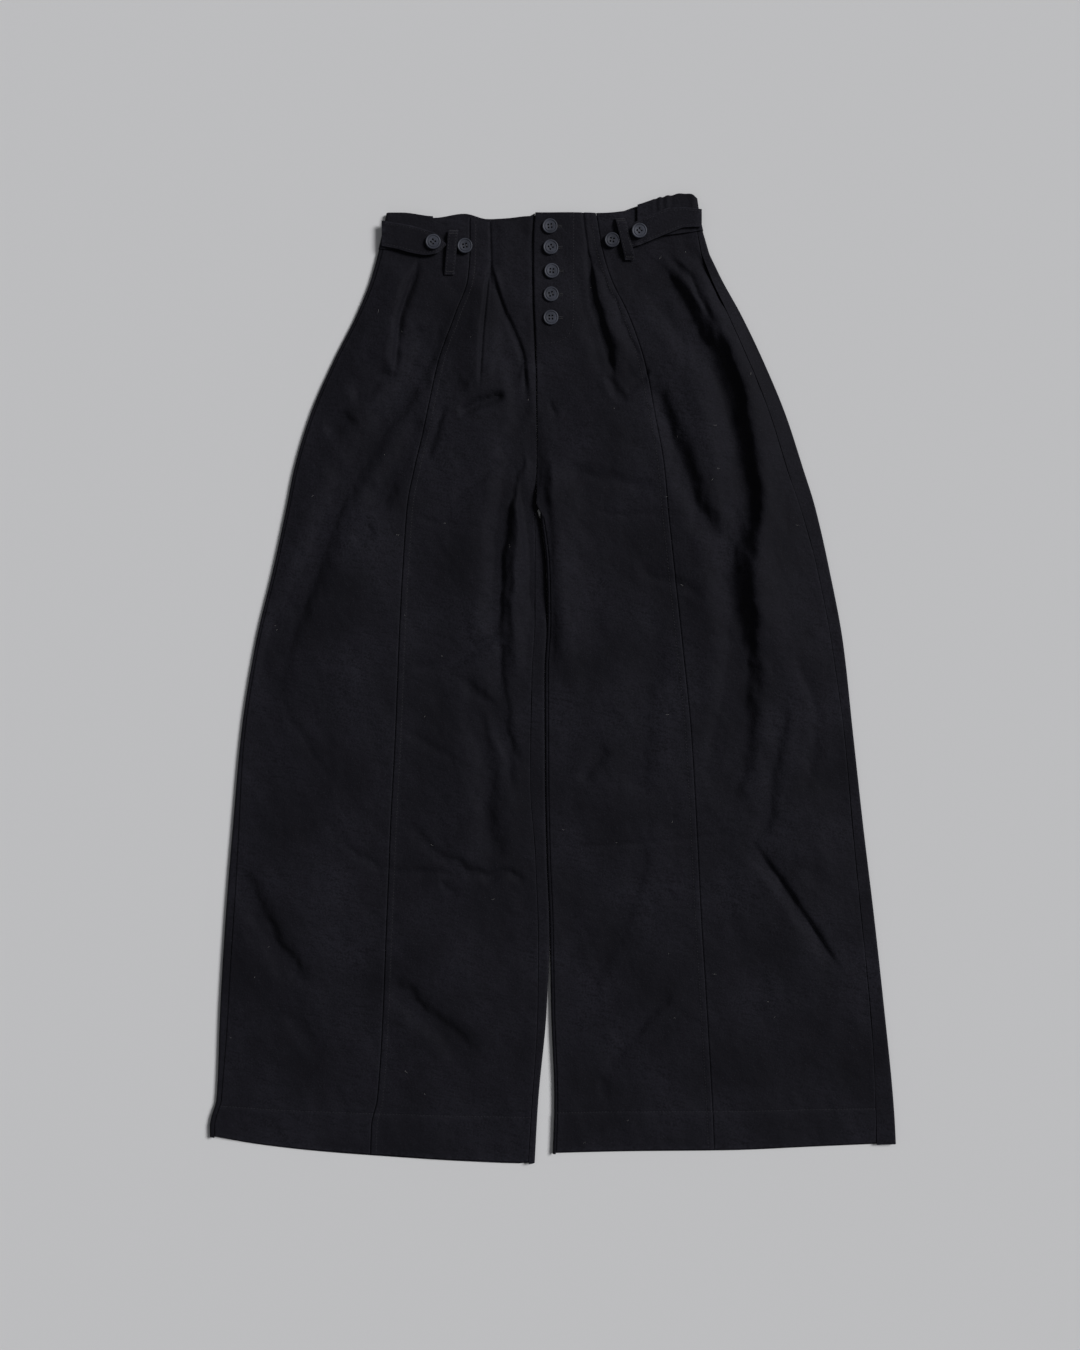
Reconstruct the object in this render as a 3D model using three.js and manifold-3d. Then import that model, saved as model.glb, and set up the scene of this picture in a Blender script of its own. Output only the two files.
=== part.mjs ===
// Black wide-leg trousers with a high waist, laid out flat on their back.
// Millimetres. X runs across to the wearer's left, Y runs up to the waist, and Z runs up from the ground.
// R and L are the wearer's right and left, so R is at minus X in this view of the front.

import * as THREE from "three";
import Module from "manifold-3d";

const wasm = await Module();
wasm.setup();
const { Manifold, CrossSection } = wasm;

// Sizes of the cloth and how its layers lie

const CLOTH = 1.5; // thickness of one layer
const SEAM_GAP = 0.34; // clear space between two pieces at a seam
const EDGE_HEIGHT = 5.2; // height of the rolled edge of a leg
const SETTLE = 1.4; // how far the front sinks towards the back away from the edges
const SETTLE_REACH = 18; // distance from an edge over which it sinks
const LOWEST_TOP = CLOTH * 2 + 0.4; // the front can't sink further than this
const SOFT = 0.8; // how softly it stops there
const FOLD_FADE = 15; // folds grow from nothing over this distance from a leg's edge
const HEM_STEP = 0.5; // the turned-up hem is this much thicker
const HEM_RISE = 4; // length over which the hem thickens at its stitching
const CROTCH = 190; // height of the crotch
const ROLL_DROP = 14; // the inner edges roll over within this drop below the crotch
const LEG_GAP = 0.6; // least space between the legs

// The outline and the long seams, at heights from the waist down to the hem

const SECTIONS = [
  { y: 530, outerR: -178, princessR: -90, princessL: 44, outerL: 158 },
  { y: 510, outerR: -182, princessR: -91, princessL: 48, outerL: 161 },
  { y: 470, outerR: -191, princessR: -91, princessL: 55, outerL: 171 },
  { y: 440, outerR: -199, princessR: -93, princessL: 64, outerL: 185 },
  { y: 400, outerR: -215, princessR: -107, princessL: 83, outerL: 207 },
  { y: 350, outerR: -240, princessR: -125, princessL: 100, outerL: 231 },
  { y: 290, outerR: -266, princessR: -138, princessL: 112.5, outerL: 256 },
  { y: 230, outerR: -284, princessR: -152, princessL: 122.5, outerL: 275.5 },
  { y: 190, outerR: -292, princessR: -159.5, princessL: 126, outerL: 288 },
  { y: 120, outerR: -307, princessR: -164.5, princessL: 133.5, outerL: 304 },
  { y: 40, outerR: -326, princessR: -168.7, princessL: 142, outerL: 319 },
  { y: -60, outerR: -342, princessR: -172.7, princessL: 152, outerL: 330 },
  { y: -160, outerR: -351, princessR: -178, princessL: 158, outerL: 341 },
  { y: -260, outerR: -359, princessR: -182, princessL: 163, outerL: 353 },
  { y: -360, outerR: -365, princessR: -186, princessL: 169, outerL: 364 },
  { y: -460, outerR: -369, princessR: -192.5, princessL: 175, outerL: 374 },
  { y: -490, outerR: -376.5, princessR: -199, princessL: 176.5, outerL: 376 },
  { y: -535, outerR: -375, princessR: -200.5, princessL: 178, outerL: 378 },
];

// How far in from each leg's outer edge its side seam lies

const SIDE_SEAMS = [
  { y: 510, inR: 4.5, inL: 4.5 },
  { y: 350, inR: 3.6, inL: 18 },
  { y: 230, inR: 3.6, inL: 18.5 },
  { y: 120, inR: 3.6, inL: 13.5 },
  { y: 40, inR: 3.6, inL: 13 },
  { y: -60, inR: 4, inL: 10 },
  { y: -260, inR: 9, inL: 14.3 },
  { y: -360, inR: 9, inL: 15.3 },
  { y: -460, inR: 5.5, inL: 19.6 },
  { y: -535, inR: 5.5, inL: 22.4 },
];

// The inner edge of each leg, and how far in from it the inseam lies

const INNER_EDGES = [
  { y: 200, innerR: -18.4, innerL: -17.8, inR: 4, inL: 3.6 },
  { y: 176, innerR: -14.6, innerL: -13.4, inR: 6, inL: 3.6 },
  { y: 120, innerR: -8, innerL: -6.9, inR: 12, inL: 3.6 },
  { y: 64, innerR: -6.9, innerL: -5.9, inR: 13, inL: 3.6 },
  { y: 5, innerR: -9.4, innerL: -8.6, inR: 13.6, inL: 3.6 },
  { y: -116, innerR: -8.8, innerL: -8, inR: 16, inL: 3.6 },
  { y: -198, innerR: -7, innerL: -6.2, inR: 12, inL: 3.6 },
  { y: -279, innerR: -4.2, innerL: -3.2, inR: 12, inL: 3.6 },
  { y: -364, innerR: -6.5, innerL: -1.7, inR: 9.6, inL: 3.6 },
  { y: -463, innerR: -15.7, innerL: 1.7, inR: 6.4, inL: 3.6 },
  { y: -535, innerR: -19.8, innerL: -0.5, inR: 6.8, inL: 3.6 },
];

// The seam up the middle of the front, which is also the free edge of the fly

const CENTRE_FRONT = [
  { y: 530, x: -17.8 },
  { y: 475, x: -21 },
  { y: 417, x: -20.3 },
  { y: 370, x: -18.4 },
  { y: 308, x: -17.4 },
  { y: 253, x: -17.4 },
  { y: 190, x: -18.1 },
];

// The top edges and the hems, from R to L

const WAIST_FRONT = [
  { x: -185, y: 506 },
  { x: -131, y: 503 },
  { x: -97, y: 507 },
  { x: -71, y: 501.6 },
  { x: -50, y: 502 },
  { x: -25, y: 508 },
  { x: -18, y: 511.5 },
  { x: 55, y: 511.5 },
  { x: 94, y: 516 },
  { x: 120, y: 521 },
  { x: 147, y: 526 },
  { x: 165, y: 523 },
];
const WAIST_BACK = [
  { x: -185, y: 511 },
  { x: -165, y: 511 },
  { x: -130, y: 507 },
  { x: -97, y: 511.5 },
  { x: -71, y: 505.5 },
  { x: -50, y: 506.5 },
  { x: -25, y: 509 },
  { x: 55, y: 509 },
  { x: 94, y: 520 },
  { x: 120, y: 528 },
  { x: 147, y: 532 },
  { x: 160, y: 527 },
];
const BAND_SEAM = { x: -20.9, y: 467, slopeR: -0.027, slopeL: 0.133 };
const HEM_R = [
  { x: -377, y: -502 },
  { x: -322, y: -511.5 },
  { x: -256, y: -519 },
  { x: -177, y: -525 },
  { x: -97, y: -530 },
  { x: -31, y: -532.4 },
  { x: -20, y: -531 },
];
const HEM_L = [
  { x: 0, y: -521 },
  { x: 88, y: -519 },
  { x: 193, y: -518 },
  { x: 285, y: -514 },
  { x: 378, y: -510 },
];

// Broad swells of the front, where the cloth stands off the layer below

const SWELLS = [
  { x: 185, y: 300, high: 13, wide: 66, tall: 130 },
  { x: 212, y: 85, high: 11.5, wide: 56, tall: 130 },
  { x: 60, y: 260, high: 4.5, wide: 60, tall: 110 },
  { x: -190, y: 330, high: 7.5, wide: 55, tall: 110 },
  { x: -235, y: 130, high: 7.5, wide: 60, tall: 110 },
  { x: -85, y: 335, high: 6.5, wide: 50, tall: 80 },
  { x: -70, y: 130, high: 6, wide: 50, tall: 120 },
  { x: -290, y: -270, high: 6.5, wide: 60, tall: 80 },
  { x: -120, y: -330, high: 6, wide: 60, tall: 80 },
  { x: -75, y: -130, high: 6.5, wide: 45, tall: 100 },
  { x: -230, y: -80, high: 3, wide: 60, tall: 90 },
  { x: 270, y: -250, high: 5.5, wide: 60, tall: 90 },
  { x: 90, y: -60, high: 5, wide: 60, tall: 110 },
  { x: 120, y: -350, high: 3.5, wide: 60, tall: 80 },
  { x: 260, y: -60, high: 4, wide: 45, tall: 110 },
];

// The largest folds and pleats. Each runs along its points. High is above the cloth round it, or
// below where it is negative. Left and right are how far it spreads to each side, seen along it.

const FOLDS = [
  {
    name: "pleat below the right tab",
    high: 4,
    left: 7,
    right: 18,
    run: [[-154, 460], [-168, 426], [-177, 382], [-182, 327]],
  },
  {
    name: "long trough of the right thigh",
    high: -9,
    left: 15,
    right: 15,
    run: [[-116, 418], [-154, 330], [-229, 210], [-264, 122], [-307, 22], [-301, -33]],
  },
  {
    name: "short trough beside it",
    high: -6,
    left: 14,
    right: 12,
    run: [[-138, 292], [-166, 242], [-206, 180]],
  },
  {
    name: "right dart's outer pleat edge",
    high: 3,
    left: 5,
    right: 16,
    run: [[-74, 458], [-80, 388], [-83, 360], [-85, 320]],
  },
  {
    name: "right dart's inner pleat edge",
    high: 6,
    left: 12,
    right: 5,
    run: [[-66, 457], [-52, 409], [-32, 363], [-27, 320]],
  },
  {
    name: "left dart's pleat edge",
    high: 6,
    left: 14,
    right: 8,
    run: [[42, 465], [52, 415], [70, 363], [74, 331]],
  },
  {
    name: "hollow beside the right dart",
    high: -3,
    left: 7,
    right: 7,
    run: [[-106, 293], [-80, 303], [-50, 314]],
  },
  {
    name: "trough down from the crotch",
    high: -8,
    left: 8,
    right: 12,
    run: [[-22, 296], [-52, 197], [-63, 87], [-68, 30]],
  },
  {
    name: "ridge between the crotch's troughs",
    high: 5,
    left: 9,
    right: 7,
    run: [[-27, 262], [-36, 190], [-41, 120], [-42, 55], [-38, -10]],
  },
  {
    name: "hollow between the legs",
    high: -5.5,
    left: 8,
    right: 8,
    run: [[-20, 300], [-21, 240], [-21, 186], [-18, 120], [-15, 60]],
  },
  {
    name: "bulge of the left leg's inner edge",
    high: 8,
    left: 24,
    right: 6,
    run: [[-3, 262], [0, 220], [1, 175], [3, 120], [5, 60], [6, 0]],
  },
  {
    name: "main trough of the left thigh",
    high: -14,
    left: 15,
    right: 18,
    run: [
      [84, 485], [122, 431], [151, 385], [183, 329], [205, 240],
      [207, 190], [195, 120], [203, 36], [187, -150],
    ],
  },
  {
    name: "ridge outside the main trough",
    high: 6,
    left: 18,
    right: 9,
    run: [[112, 480], [147, 431], [176, 385], [206, 325], [228, 190], [222, 110], [226, 30]],
  },
  {
    name: "second trough of the left thigh",
    high: -8,
    left: 9,
    right: 13,
    run: [[107, 333], [130, 272], [157, 195], [192, 138]],
  },
  {
    name: "slanting fold of the right shin",
    high: -7.5,
    left: 9,
    right: 15,
    run: [[-349, -202], [-304, -289], [-266, -339]],
  },
  {
    name: "slanting fold inside the right shin",
    high: -7,
    left: 9,
    right: 14,
    run: [[-180, -329], [-128, -376], [-84, -416]],
  },
  {
    name: "trough inside the right knee",
    high: -7,
    left: 12,
    right: 16,
    run: [[-101, -8], [-77, -67], [-71, -155], [-64, -215]],
  },
  {
    name: "slanting crease of the left shin",
    high: -4,
    left: 6,
    right: 7,
    run: [[212, -179], [245, -220], [286, -281], [314, -324]],
  },
];

// Small helpers

const mix = (a, b, t) => a + (b - a) * t;
const clamp01 = (t) => Math.min(1, Math.max(0, t));
const smooth = (from, to, value) => {
  const t = clamp01((value - from) / (to - from));
  return t * t * (3 - 2 * t);
};
const bell = (distance, width) => Math.exp(-((distance / width) ** 2));

// A smooth line through one column of a table, which never swings past its rows
function curve(table, along, column) {
  const rows = [...table].sort((a, b) => a[along] - b[along]);
  const at = rows.map((row) => row[along]);
  const value = rows.map((row) => row[column]);
  const rise = at.slice(1).map((x, i) => (value[i + 1] - value[i]) / (x - at[i]));
  const slope = value.map((_, i) => {
    if (i === 0) return rise[0];
    if (i === value.length - 1) return rise[i - 1];
    if (rise[i - 1] * rise[i] <= 0) return 0;
    return (2 * rise[i - 1] * rise[i]) / (rise[i - 1] + rise[i]);
  });
  return (x) => {
    const inside = Math.min(at[at.length - 1], Math.max(at[0], x));
    let i = 0;
    while (i < at.length - 2 && inside > at[i + 1]) i += 1;
    const step = at[i + 1] - at[i];
    const t = (inside - at[i]) / step;
    const lift = t * t * (3 - 2 * t);
    const start = t * (1 - t) * (1 - t);
    const end = -t * t * (1 - t);
    return mix(value[i], value[i + 1], lift) + step * (start * slope[i] + end * slope[i + 1]);
  };
}

const outerR = curve(SECTIONS, "y", "outerR");
const outerL = curve(SECTIONS, "y", "outerL");
const princessR = curve(SECTIONS, "y", "princessR");
const princessL = curve(SECTIONS, "y", "princessL");
const sideInR = curve(SIDE_SEAMS, "y", "inR");
const sideInL = curve(SIDE_SEAMS, "y", "inL");
const sideR = (y) => outerR(y) + sideInR(y);
const sideL = (y) => outerL(y) - sideInL(y);
const centreFront = curve(CENTRE_FRONT, "y", "x");
const innerTableR = curve(INNER_EDGES, "y", "innerR");
const innerTableL = curve(INNER_EDGES, "y", "innerL");
const innerR = (y) => innerTableR(y);
const innerL = (y) => Math.max(innerTableL(y), innerR(y) + LEG_GAP);
const inseamInR = curve(INNER_EDGES, "y", "inR");
const inseamInL = curve(INNER_EDGES, "y", "inL");
const waistFront = curve(WAIST_FRONT, "x", "y");
const waistBack = curve(WAIST_BACK, "x", "y");
const bandSeam = (x) => {
  const slope = x < BAND_SEAM.x ? BAND_SEAM.slopeR : BAND_SEAM.slopeL;
  return BAND_SEAM.y + slope * (x - BAND_SEAM.x);
};
const hemR = curve(HEM_R, "x", "y");
const hemL = curve(HEM_L, "x", "y");

// How high the front lies

// Distance in from the edge of the leg at a point. The legs have no inner edges above the crotch.
function edgeDistance(x, y) {
  const above = Math.max(0, y - CROTCH);
  const onRight = x < centreFront(Math.max(y, CROTCH));
  const outside = onRight ? x - outerR(y) : outerL(y) - x;
  const inside = (onRight ? innerR(y) - x : x - innerL(y)) + above;
  return Math.max(0, Math.min(outside, Math.abs(inside)));
}

// The nearest spot of a fold's run: how far off it is, on which side, and how far along
function nearest(run, x, y) {
  const lengths = run.slice(1).map(([bx, by], i) => Math.hypot(bx - run[i][0], by - run[i][1]));
  const total = lengths.reduce((sum, length) => sum + length, 0);
  let best = { distance: Infinity, left: true, along: 0 };
  let walked = 0;
  lengths.forEach((length, i) => {
    const [ax, ay] = run[i];
    const [bx, by] = run[i + 1];
    const t = clamp01(((x - ax) * (bx - ax) + (y - ay) * (by - ay)) / (length * length));
    const distance = Math.hypot(x - mix(ax, bx, t), y - mix(ay, by, t));
    if (distance < best.distance) {
      const left = (bx - ax) * (y - ay) - (by - ay) * (x - ax) > 0;
      best = { distance, left, along: (walked + t * length) / total };
    }
    walked += length;
  });
  return { ...best, length: total };
}

// How much of a fold's run each of its tapered ends takes, and the longest such end
const TAPER = { share: 0.22, longest: 55 };

function foldHeight(x, y) {
  return FOLDS.reduce((sum, fold) => {
    const spot = nearest(fold.run, x, y);
    const end = Math.min(TAPER.share, TAPER.longest / spot.length);
    const taper = smooth(0, end, spot.along) * smooth(1, 1 - end, spot.along);
    const width = spot.left ? fold.left : fold.right;
    return sum + fold.high * taper * bell(spot.distance, width);
  }, 0);
}

function swellHeight(x, y) {
  return SWELLS.reduce((sum, s) => sum + s.high * bell(x - s.x, s.wide) * bell(y - s.y, s.tall), 0);
}

// The fly is four layers thick, so the front doesn't sink there
const FLY = { left: -52, right: 34, foot: 352, fade: 14 };

function frontHeight(x, y) {
  const edge = edgeDistance(x, y);
  const across = smooth(FLY.left - FLY.fade, FLY.left, x) * smooth(FLY.right + FLY.fade, FLY.right, x);
  const fly = across * smooth(FLY.foot - FLY.fade, FLY.foot, y);
  const settle = SETTLE * (1 - bell(edge, SETTLE_REACH)) * (1 - fly);
  const belowBand = smooth(472, 440, y);
  const grown = (1 - bell(edge, FOLD_FADE)) * belowBand * (1 - fly);
  const wanted = EDGE_HEIGHT - settle + grown * (swellHeight(x, y) + foldHeight(x, y));
  const over = (wanted - LOWEST_TOP) / SOFT;
  const softened = over > 20 ? over : Math.log1p(Math.exp(over));
  return LOWEST_TOP + SOFT * softened;
}

// Sheets of cloth

const clothMaterial = new THREE.MeshStandardMaterial({
  name: "black_twill",
  color: 0x1a191f,
  roughness: 0.9,
  metalness: 0,
});
const buttonMaterial = new THREE.MeshStandardMaterial({
  name: "button_plastic",
  color: 0x2b2e37,
  roughness: 0.35,
  metalness: 0,
});

const trousers = new THREE.Group();
trousers.name = "trousers";

function addMesh(name, geometry, material) {
  geometry.computeVertexNormals();
  const mesh = new THREE.Mesh(geometry, material);
  mesh.name = name;
  trousers.add(mesh);
}

function signedVolume(points, triangles) {
  const a = new THREE.Vector3();
  const b = new THREE.Vector3();
  const c = new THREE.Vector3();
  let sum = 0;
  for (let i = 0; i < triangles.length; i += 3) {
    a.fromArray(points, triangles[i] * 3);
    b.fromArray(points, triangles[i + 1] * 3);
    c.fromArray(points, triangles[i + 2] * 3);
    sum += a.dot(b.cross(c));
  }
  return sum;
}

// Closes two grids of points, an outer and an inner face of one layer, round their four sides
function closedSheet(outer, inner) {
  const rows = outer.length;
  const columns = outer[0].length;
  const points = [...outer.flat(), ...inner.flat()].flat();
  const onOuter = (i, j) => i * columns + j;
  const onInner = (i, j) => rows * columns + i * columns + j;
  const triangles = [];
  const quad = (a, b, c, d) => triangles.push(a, b, c, a, c, d);
  for (let i = 0; i < rows - 1; i += 1) {
    for (let j = 0; j < columns - 1; j += 1) {
      quad(onOuter(i, j), onOuter(i, j + 1), onOuter(i + 1, j + 1), onOuter(i + 1, j));
      quad(onInner(i, j), onInner(i + 1, j), onInner(i + 1, j + 1), onInner(i, j + 1));
    }
    const last = columns - 1;
    quad(onOuter(i, 0), onOuter(i + 1, 0), onInner(i + 1, 0), onInner(i, 0));
    quad(onOuter(i + 1, last), onOuter(i, last), onInner(i, last), onInner(i + 1, last));
  }
  for (let j = 0; j < columns - 1; j += 1) {
    const last = rows - 1;
    quad(onOuter(0, j + 1), onOuter(0, j), onInner(0, j), onInner(0, j + 1));
    quad(onOuter(last, j), onOuter(last, j + 1), onInner(last, j + 1), onInner(last, j));
  }
  if (signedVolume(points, triangles) < 0) triangles.reverse();
  const geometry = new THREE.BufferGeometry();
  geometry.setAttribute("position", new THREE.Float32BufferAttribute(points, 3));
  geometry.setIndex(triangles);
  return geometry;
}

const straightDown = (top, foot) => (down, x) => mix(top(x), foot(x), down);

// Makes one cloth piece. The section gives, for a column and a height y, a spot of the outer face
// with x, z and the way out of the cloth there. The top and foot give the piece's ends across x,
// and the spread says how its rows lie between them.

function clothPiece(name, { rows, columns, section, top, foot, spread = straightDown, thick = CLOTH }) {
  const outer = [];
  const inner = [];
  const heightAt = spread(top, foot);
  rows.forEach((down) => {
    const outerRow = [];
    const innerRow = [];
    for (let j = 0; j < columns; j += 1) {
      let y = heightAt(down, 0);
      let spot = section(j, y, down);
      for (let pass = 0; pass < 6; pass += 1) {
        y = heightAt(down, spot.x);
        spot = section(j, y, down);
      }
      outerRow.push([spot.x, y, spot.z]);
      innerRow.push([spot.x - spot.outX * thick, y, spot.z - spot.outZ * thick]);
    }
    outer.push(outerRow);
    inner.push(innerRow);
  });
  addMesh(name, closedSheet(outer, inner), clothMaterial);
}

const evenly = (count) => Array.from({ length: count + 1 }, (_, i) => i / count);

// The levels of a leg's rows, closer together at the waist. Those between the first and the last
// straight level lie straight across, and the others bend to follow the waist and the hem.
const LEVEL = {
  top: 530,
  straightTop: 440,
  straightFoot: -440,
  stitch: -482,
  frontFoot: -532, // the back shows below the front at the hem
  foot: -535,
};
const BENT_ROWS = 5;
const STRAIGHT_ROWS = 23;
const CROWDING = 1.25;
const crotchLevels = [CROTCH + 2, CROTCH + 2 - ROLL_DROP / 2, CROTCH - ROLL_DROP];
const straightLevels = evenly(STRAIGHT_ROWS)
  .map((s) => mix(LEVEL.straightTop, LEVEL.straightFoot, s ** CROWDING))
  .concat(crotchLevels)
  .sort((a, b) => b - a);
const hemLevels = [LEVEL.stitch, LEVEL.stitch - HEM_RISE, LEVEL.frontFoot];
const hemLift = (level) => HEM_STEP * smooth(LEVEL.stitch, LEVEL.stitch - HEM_RISE, level);

const downTheLeg = (top, foot) => (level, x) => {
  if (level > LEVEL.straightTop) {
    const up = (level - LEVEL.straightTop) / (LEVEL.top - LEVEL.straightTop);
    return mix(LEVEL.straightTop, top(x), up);
  }
  if (level < LEVEL.straightFoot) {
    const down = (level - LEVEL.straightFoot) / (LEVEL.foot - LEVEL.straightFoot);
    return mix(LEVEL.straightFoot, foot(x), down);
  }
  return level;
};

// Front panels

const FRONT_COLUMNS = 11;
const frontLevels = evenly(BENT_ROWS)
  .slice(0, -1)
  .map((s) => mix(LEVEL.top, LEVEL.straightTop, s));

function frontPanel(name, left, right, hem) {
  clothPiece(name, {
    rows: [...frontLevels, ...straightLevels, ...hemLevels],
    columns: FRONT_COLUMNS,
    spread: downTheLeg,
    top: waistFront,
    foot: hem,
    section: (j, y, down) => {
      const across = j / (FRONT_COLUMNS - 1);
      const x = mix(left(y) + SEAM_GAP / 2, right(y) - SEAM_GAP / 2, across);
      return { x, z: frontHeight(x, y) + hemLift(down), outX: 0, outZ: 1 };
    },
  });
}

// Each centre panel ends at the centre seam, and at the inseam below the crotch
const crotchTurn = (y) => smooth(CROTCH + 24, CROTCH - 6, y);
const centreOrInseamR = (y) =>
  mix(centreFront(y), innerR(y) - inseamInR(y), crotchTurn(y));
const centreOrInseamL = (y) =>
  mix(centreFront(y), innerL(y) + inseamInL(y), crotchTurn(y));

frontPanel("front_side_R", sideR, princessR, hemR);
frontPanel("front_centre_R", princessR, centreOrInseamR, hemR);
frontPanel("front_centre_L", centreOrInseamL, princessL, hemL);
frontPanel("front_side_L", princessL, sideL, hemL);

// Back panels, flat on the ground and rolled over on top as far as the side seam and the inseam

const ROLL_STEPS = 4;
const FLAT_STEPS = 3;
const ROLL = EDGE_HEIGHT / 2; // radius of a rolled edge
const ROLL_LENGTH = Math.PI * ROLL;
const UNROLLED = 0.003; // share of the turn that is left where the inner edge has opened out flat

function backPanel(name, facing, outer, sideIn, inner, inseamIn, hem) {
  // Worked out as for the left leg, with the outer edge at plus X, then turned to face its side.
  const columns = 2 * (ROLL_STEPS + 1) + (FLAT_STEPS - 1) + 2;
  clothPiece(name, {
    rows: [LEVEL.top, ...straightLevels, ...hemLevels, LEVEL.foot],
    columns,
    spread: downTheLeg,
    top: (x) => bandSeam(x) - SEAM_GAP,
    foot: hem,
    section: (j, y, down) => {
      const outside = facing * outer(y) - ROLL;
      const rolled = smooth(CROTCH + 2, CROTCH - ROLL_DROP, y);
      const seamX = facing * mix(centreFront(y), inner(y), smooth(CROTCH + 6, CROTCH - 6, y));
      const reach = inseamIn(y) - ROLL - SEAM_GAP / 2;
      const inside = seamX + mix(SEAM_GAP + ROLL_LENGTH + reach, ROLL, rolled);
      const turnIn = Math.PI * mix(UNROLLED, 1, rolled);
      const radiusIn = ROLL_LENGTH / turnIn;
      const innerRoll = (turn) => ({
        x: inside - radiusIn * Math.sin(turn),
        z: radiusIn - radiusIn * Math.cos(turn),
      });
      const place = (x, z, outX, outZ) => ({ x: facing * x, z, outX: facing * outX, outZ });
      const lastRoll = columns - 2;
      if (j === 0) {
        const x = facing * outer(y) - sideIn(y) + SEAM_GAP / 2;
        return place(x, frontHeight(facing * x, y) + hemLift(down), 0, 1);
      }
      if (j <= ROLL_STEPS + 1) {
        const turn = Math.PI * (1 - (j - 1) / ROLL_STEPS);
        const x = outside + ROLL * Math.sin(turn);
        return place(x, ROLL - ROLL * Math.cos(turn), Math.sin(turn), -Math.cos(turn));
      }
      if (j < ROLL_STEPS + 1 + FLAT_STEPS) {
        const t = (j - ROLL_STEPS - 1) / FLAT_STEPS;
        return place(mix(outside, inside, t), 0, 0, -1);
      }
      if (j <= lastRoll) {
        const turn = (turnIn * (j - ROLL_STEPS - 1 - FLAT_STEPS)) / ROLL_STEPS;
        const spot = innerRoll(turn);
        return place(spot.x, spot.z, -Math.sin(turn), -Math.cos(turn));
      }
      const spot = innerRoll(turnIn);
      const x = spot.x - Math.cos(turnIn) * reach;
      const z = spot.z + Math.sin(turnIn) * reach;
      return place(x, z + rolled * hemLift(down), -Math.sin(turnIn), -Math.cos(turnIn));
    },
  });
}

backPanel("back_R", -1, outerR, sideInR, innerR, inseamInR, hemR);
backPanel("back_L", 1, outerL, sideInL, innerL, inseamInL, hemL);

// The waistband of the back. It wraps round both sides and ends on the front over the side panels.

const BAND = {
  height: 7.2,
  endR: -131,
  endL: 93,
  gather: 0.8,
  gatherFrom: 105,
  gatherTo: 158,
  gatherEvery: 10.5,
};
const BAND_ROLL = BAND.height / 2;
const BAND_RETURN_STEPS = 5;
const BAND_FLAT_STEPS = 4;

const bandColumns = 2 * (BAND_RETURN_STEPS + ROLL_STEPS) + BAND_FLAT_STEPS + 1;

function bandSection(j, y, down) {
  const left = outerR(y) - 0.5 + BAND_ROLL;
  const right = outerL(y) + 0.5 - BAND_ROLL;
  const gathers = (x) => {
    const within = smooth(BAND.gatherFrom, BAND.gatherFrom + 8, x);
    const wave = 1 + Math.sin((2 * Math.PI * x) / BAND.gatherEvery);
    return BAND.gather * wave * within * (1 - down);
  };
  if (j < BAND_RETURN_STEPS) {
    const x = mix(BAND.endR, left, j / BAND_RETURN_STEPS);
    return { x, z: BAND.height, outX: 0, outZ: 1 };
  }
  const fromR = j - BAND_RETURN_STEPS;
  if (fromR <= ROLL_STEPS) {
    const turn = (Math.PI * fromR) / ROLL_STEPS;
    const z = BAND_ROLL + BAND_ROLL * Math.cos(turn);
    return { x: left - BAND_ROLL * Math.sin(turn), z, outX: -Math.sin(turn), outZ: Math.cos(turn) };
  }
  const fromFlat = fromR - ROLL_STEPS;
  if (fromFlat < BAND_FLAT_STEPS) {
    const half = BAND_FLAT_STEPS / 2;
    const t = fromFlat / half;
    const x = t < 1 ? mix(left, BAND_SEAM.x, t) : mix(BAND_SEAM.x, right, t - 1);
    return { x, z: 0, outX: 0, outZ: -1 };
  }
  const fromL = fromFlat - BAND_FLAT_STEPS;
  if (fromL <= ROLL_STEPS) {
    const turn = (Math.PI * fromL) / ROLL_STEPS;
    const z = BAND_ROLL - BAND_ROLL * Math.cos(turn);
    return { x: right + BAND_ROLL * Math.sin(turn), z, outX: Math.sin(turn), outZ: -Math.cos(turn) };
  }
  const x = mix(right, BAND.endL, (fromL - ROLL_STEPS) / BAND_RETURN_STEPS);
  return { x, z: BAND.height + gathers(x), outX: 0, outZ: 1 };
}

clothPiece("waistband_back", {
  rows: evenly(4),
  columns: bandColumns,
  top: waistBack,
  foot: bandSeam,
  section: bandSection,
});

// The underlap of the fly, which shows in the slit between the two fronts

const UNDERLAP = { left: -34, right: 18, top: 505, foot: 366, lift: CLOTH + SEAM_GAP };

clothPiece("fly_underlap", {
  rows: evenly(6),
  columns: 4,
  top: () => UNDERLAP.top,
  foot: () => UNDERLAP.foot,
  section: (j) => ({
    x: mix(UNDERLAP.left, UNDERLAP.right, j / 3),
    z: UNDERLAP.lift + CLOTH,
    outX: 0,
    outZ: 1,
  }),
});

// The side tabs, on the waistband's front ends

const TAB_ON_BAND = BAND.height + SEAM_GAP + CLOTH; // top face where a tab lies on the band
const TAB_ON_PANEL = EDGE_HEIGHT + SEAM_GAP + CLOTH; // top face where it lies on a front panel

const TAB_R = [
  { x: -187, low: 474, high: 501.5 },
  { x: -172, low: 471, high: 499 },
  { x: -155, low: 466.5, high: 496 },
  { x: -139, low: 464, high: 491.5 },
  { x: -128, low: 465.5, high: 487.5 },
  { x: -116.4, low: 475.5, high: 476.5 },
];
const TAB_L = [
  { x: 81, low: 470.5, high: 495 },
  { x: 97, low: 475.5, high: 503 },
  { x: 112, low: 481.5, high: 509 },
  { x: 128, low: 488, high: 515 },
  { x: 146, low: 494, high: 515.5 },
  { x: 163, low: 494.5, high: 513.5 },
];

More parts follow.
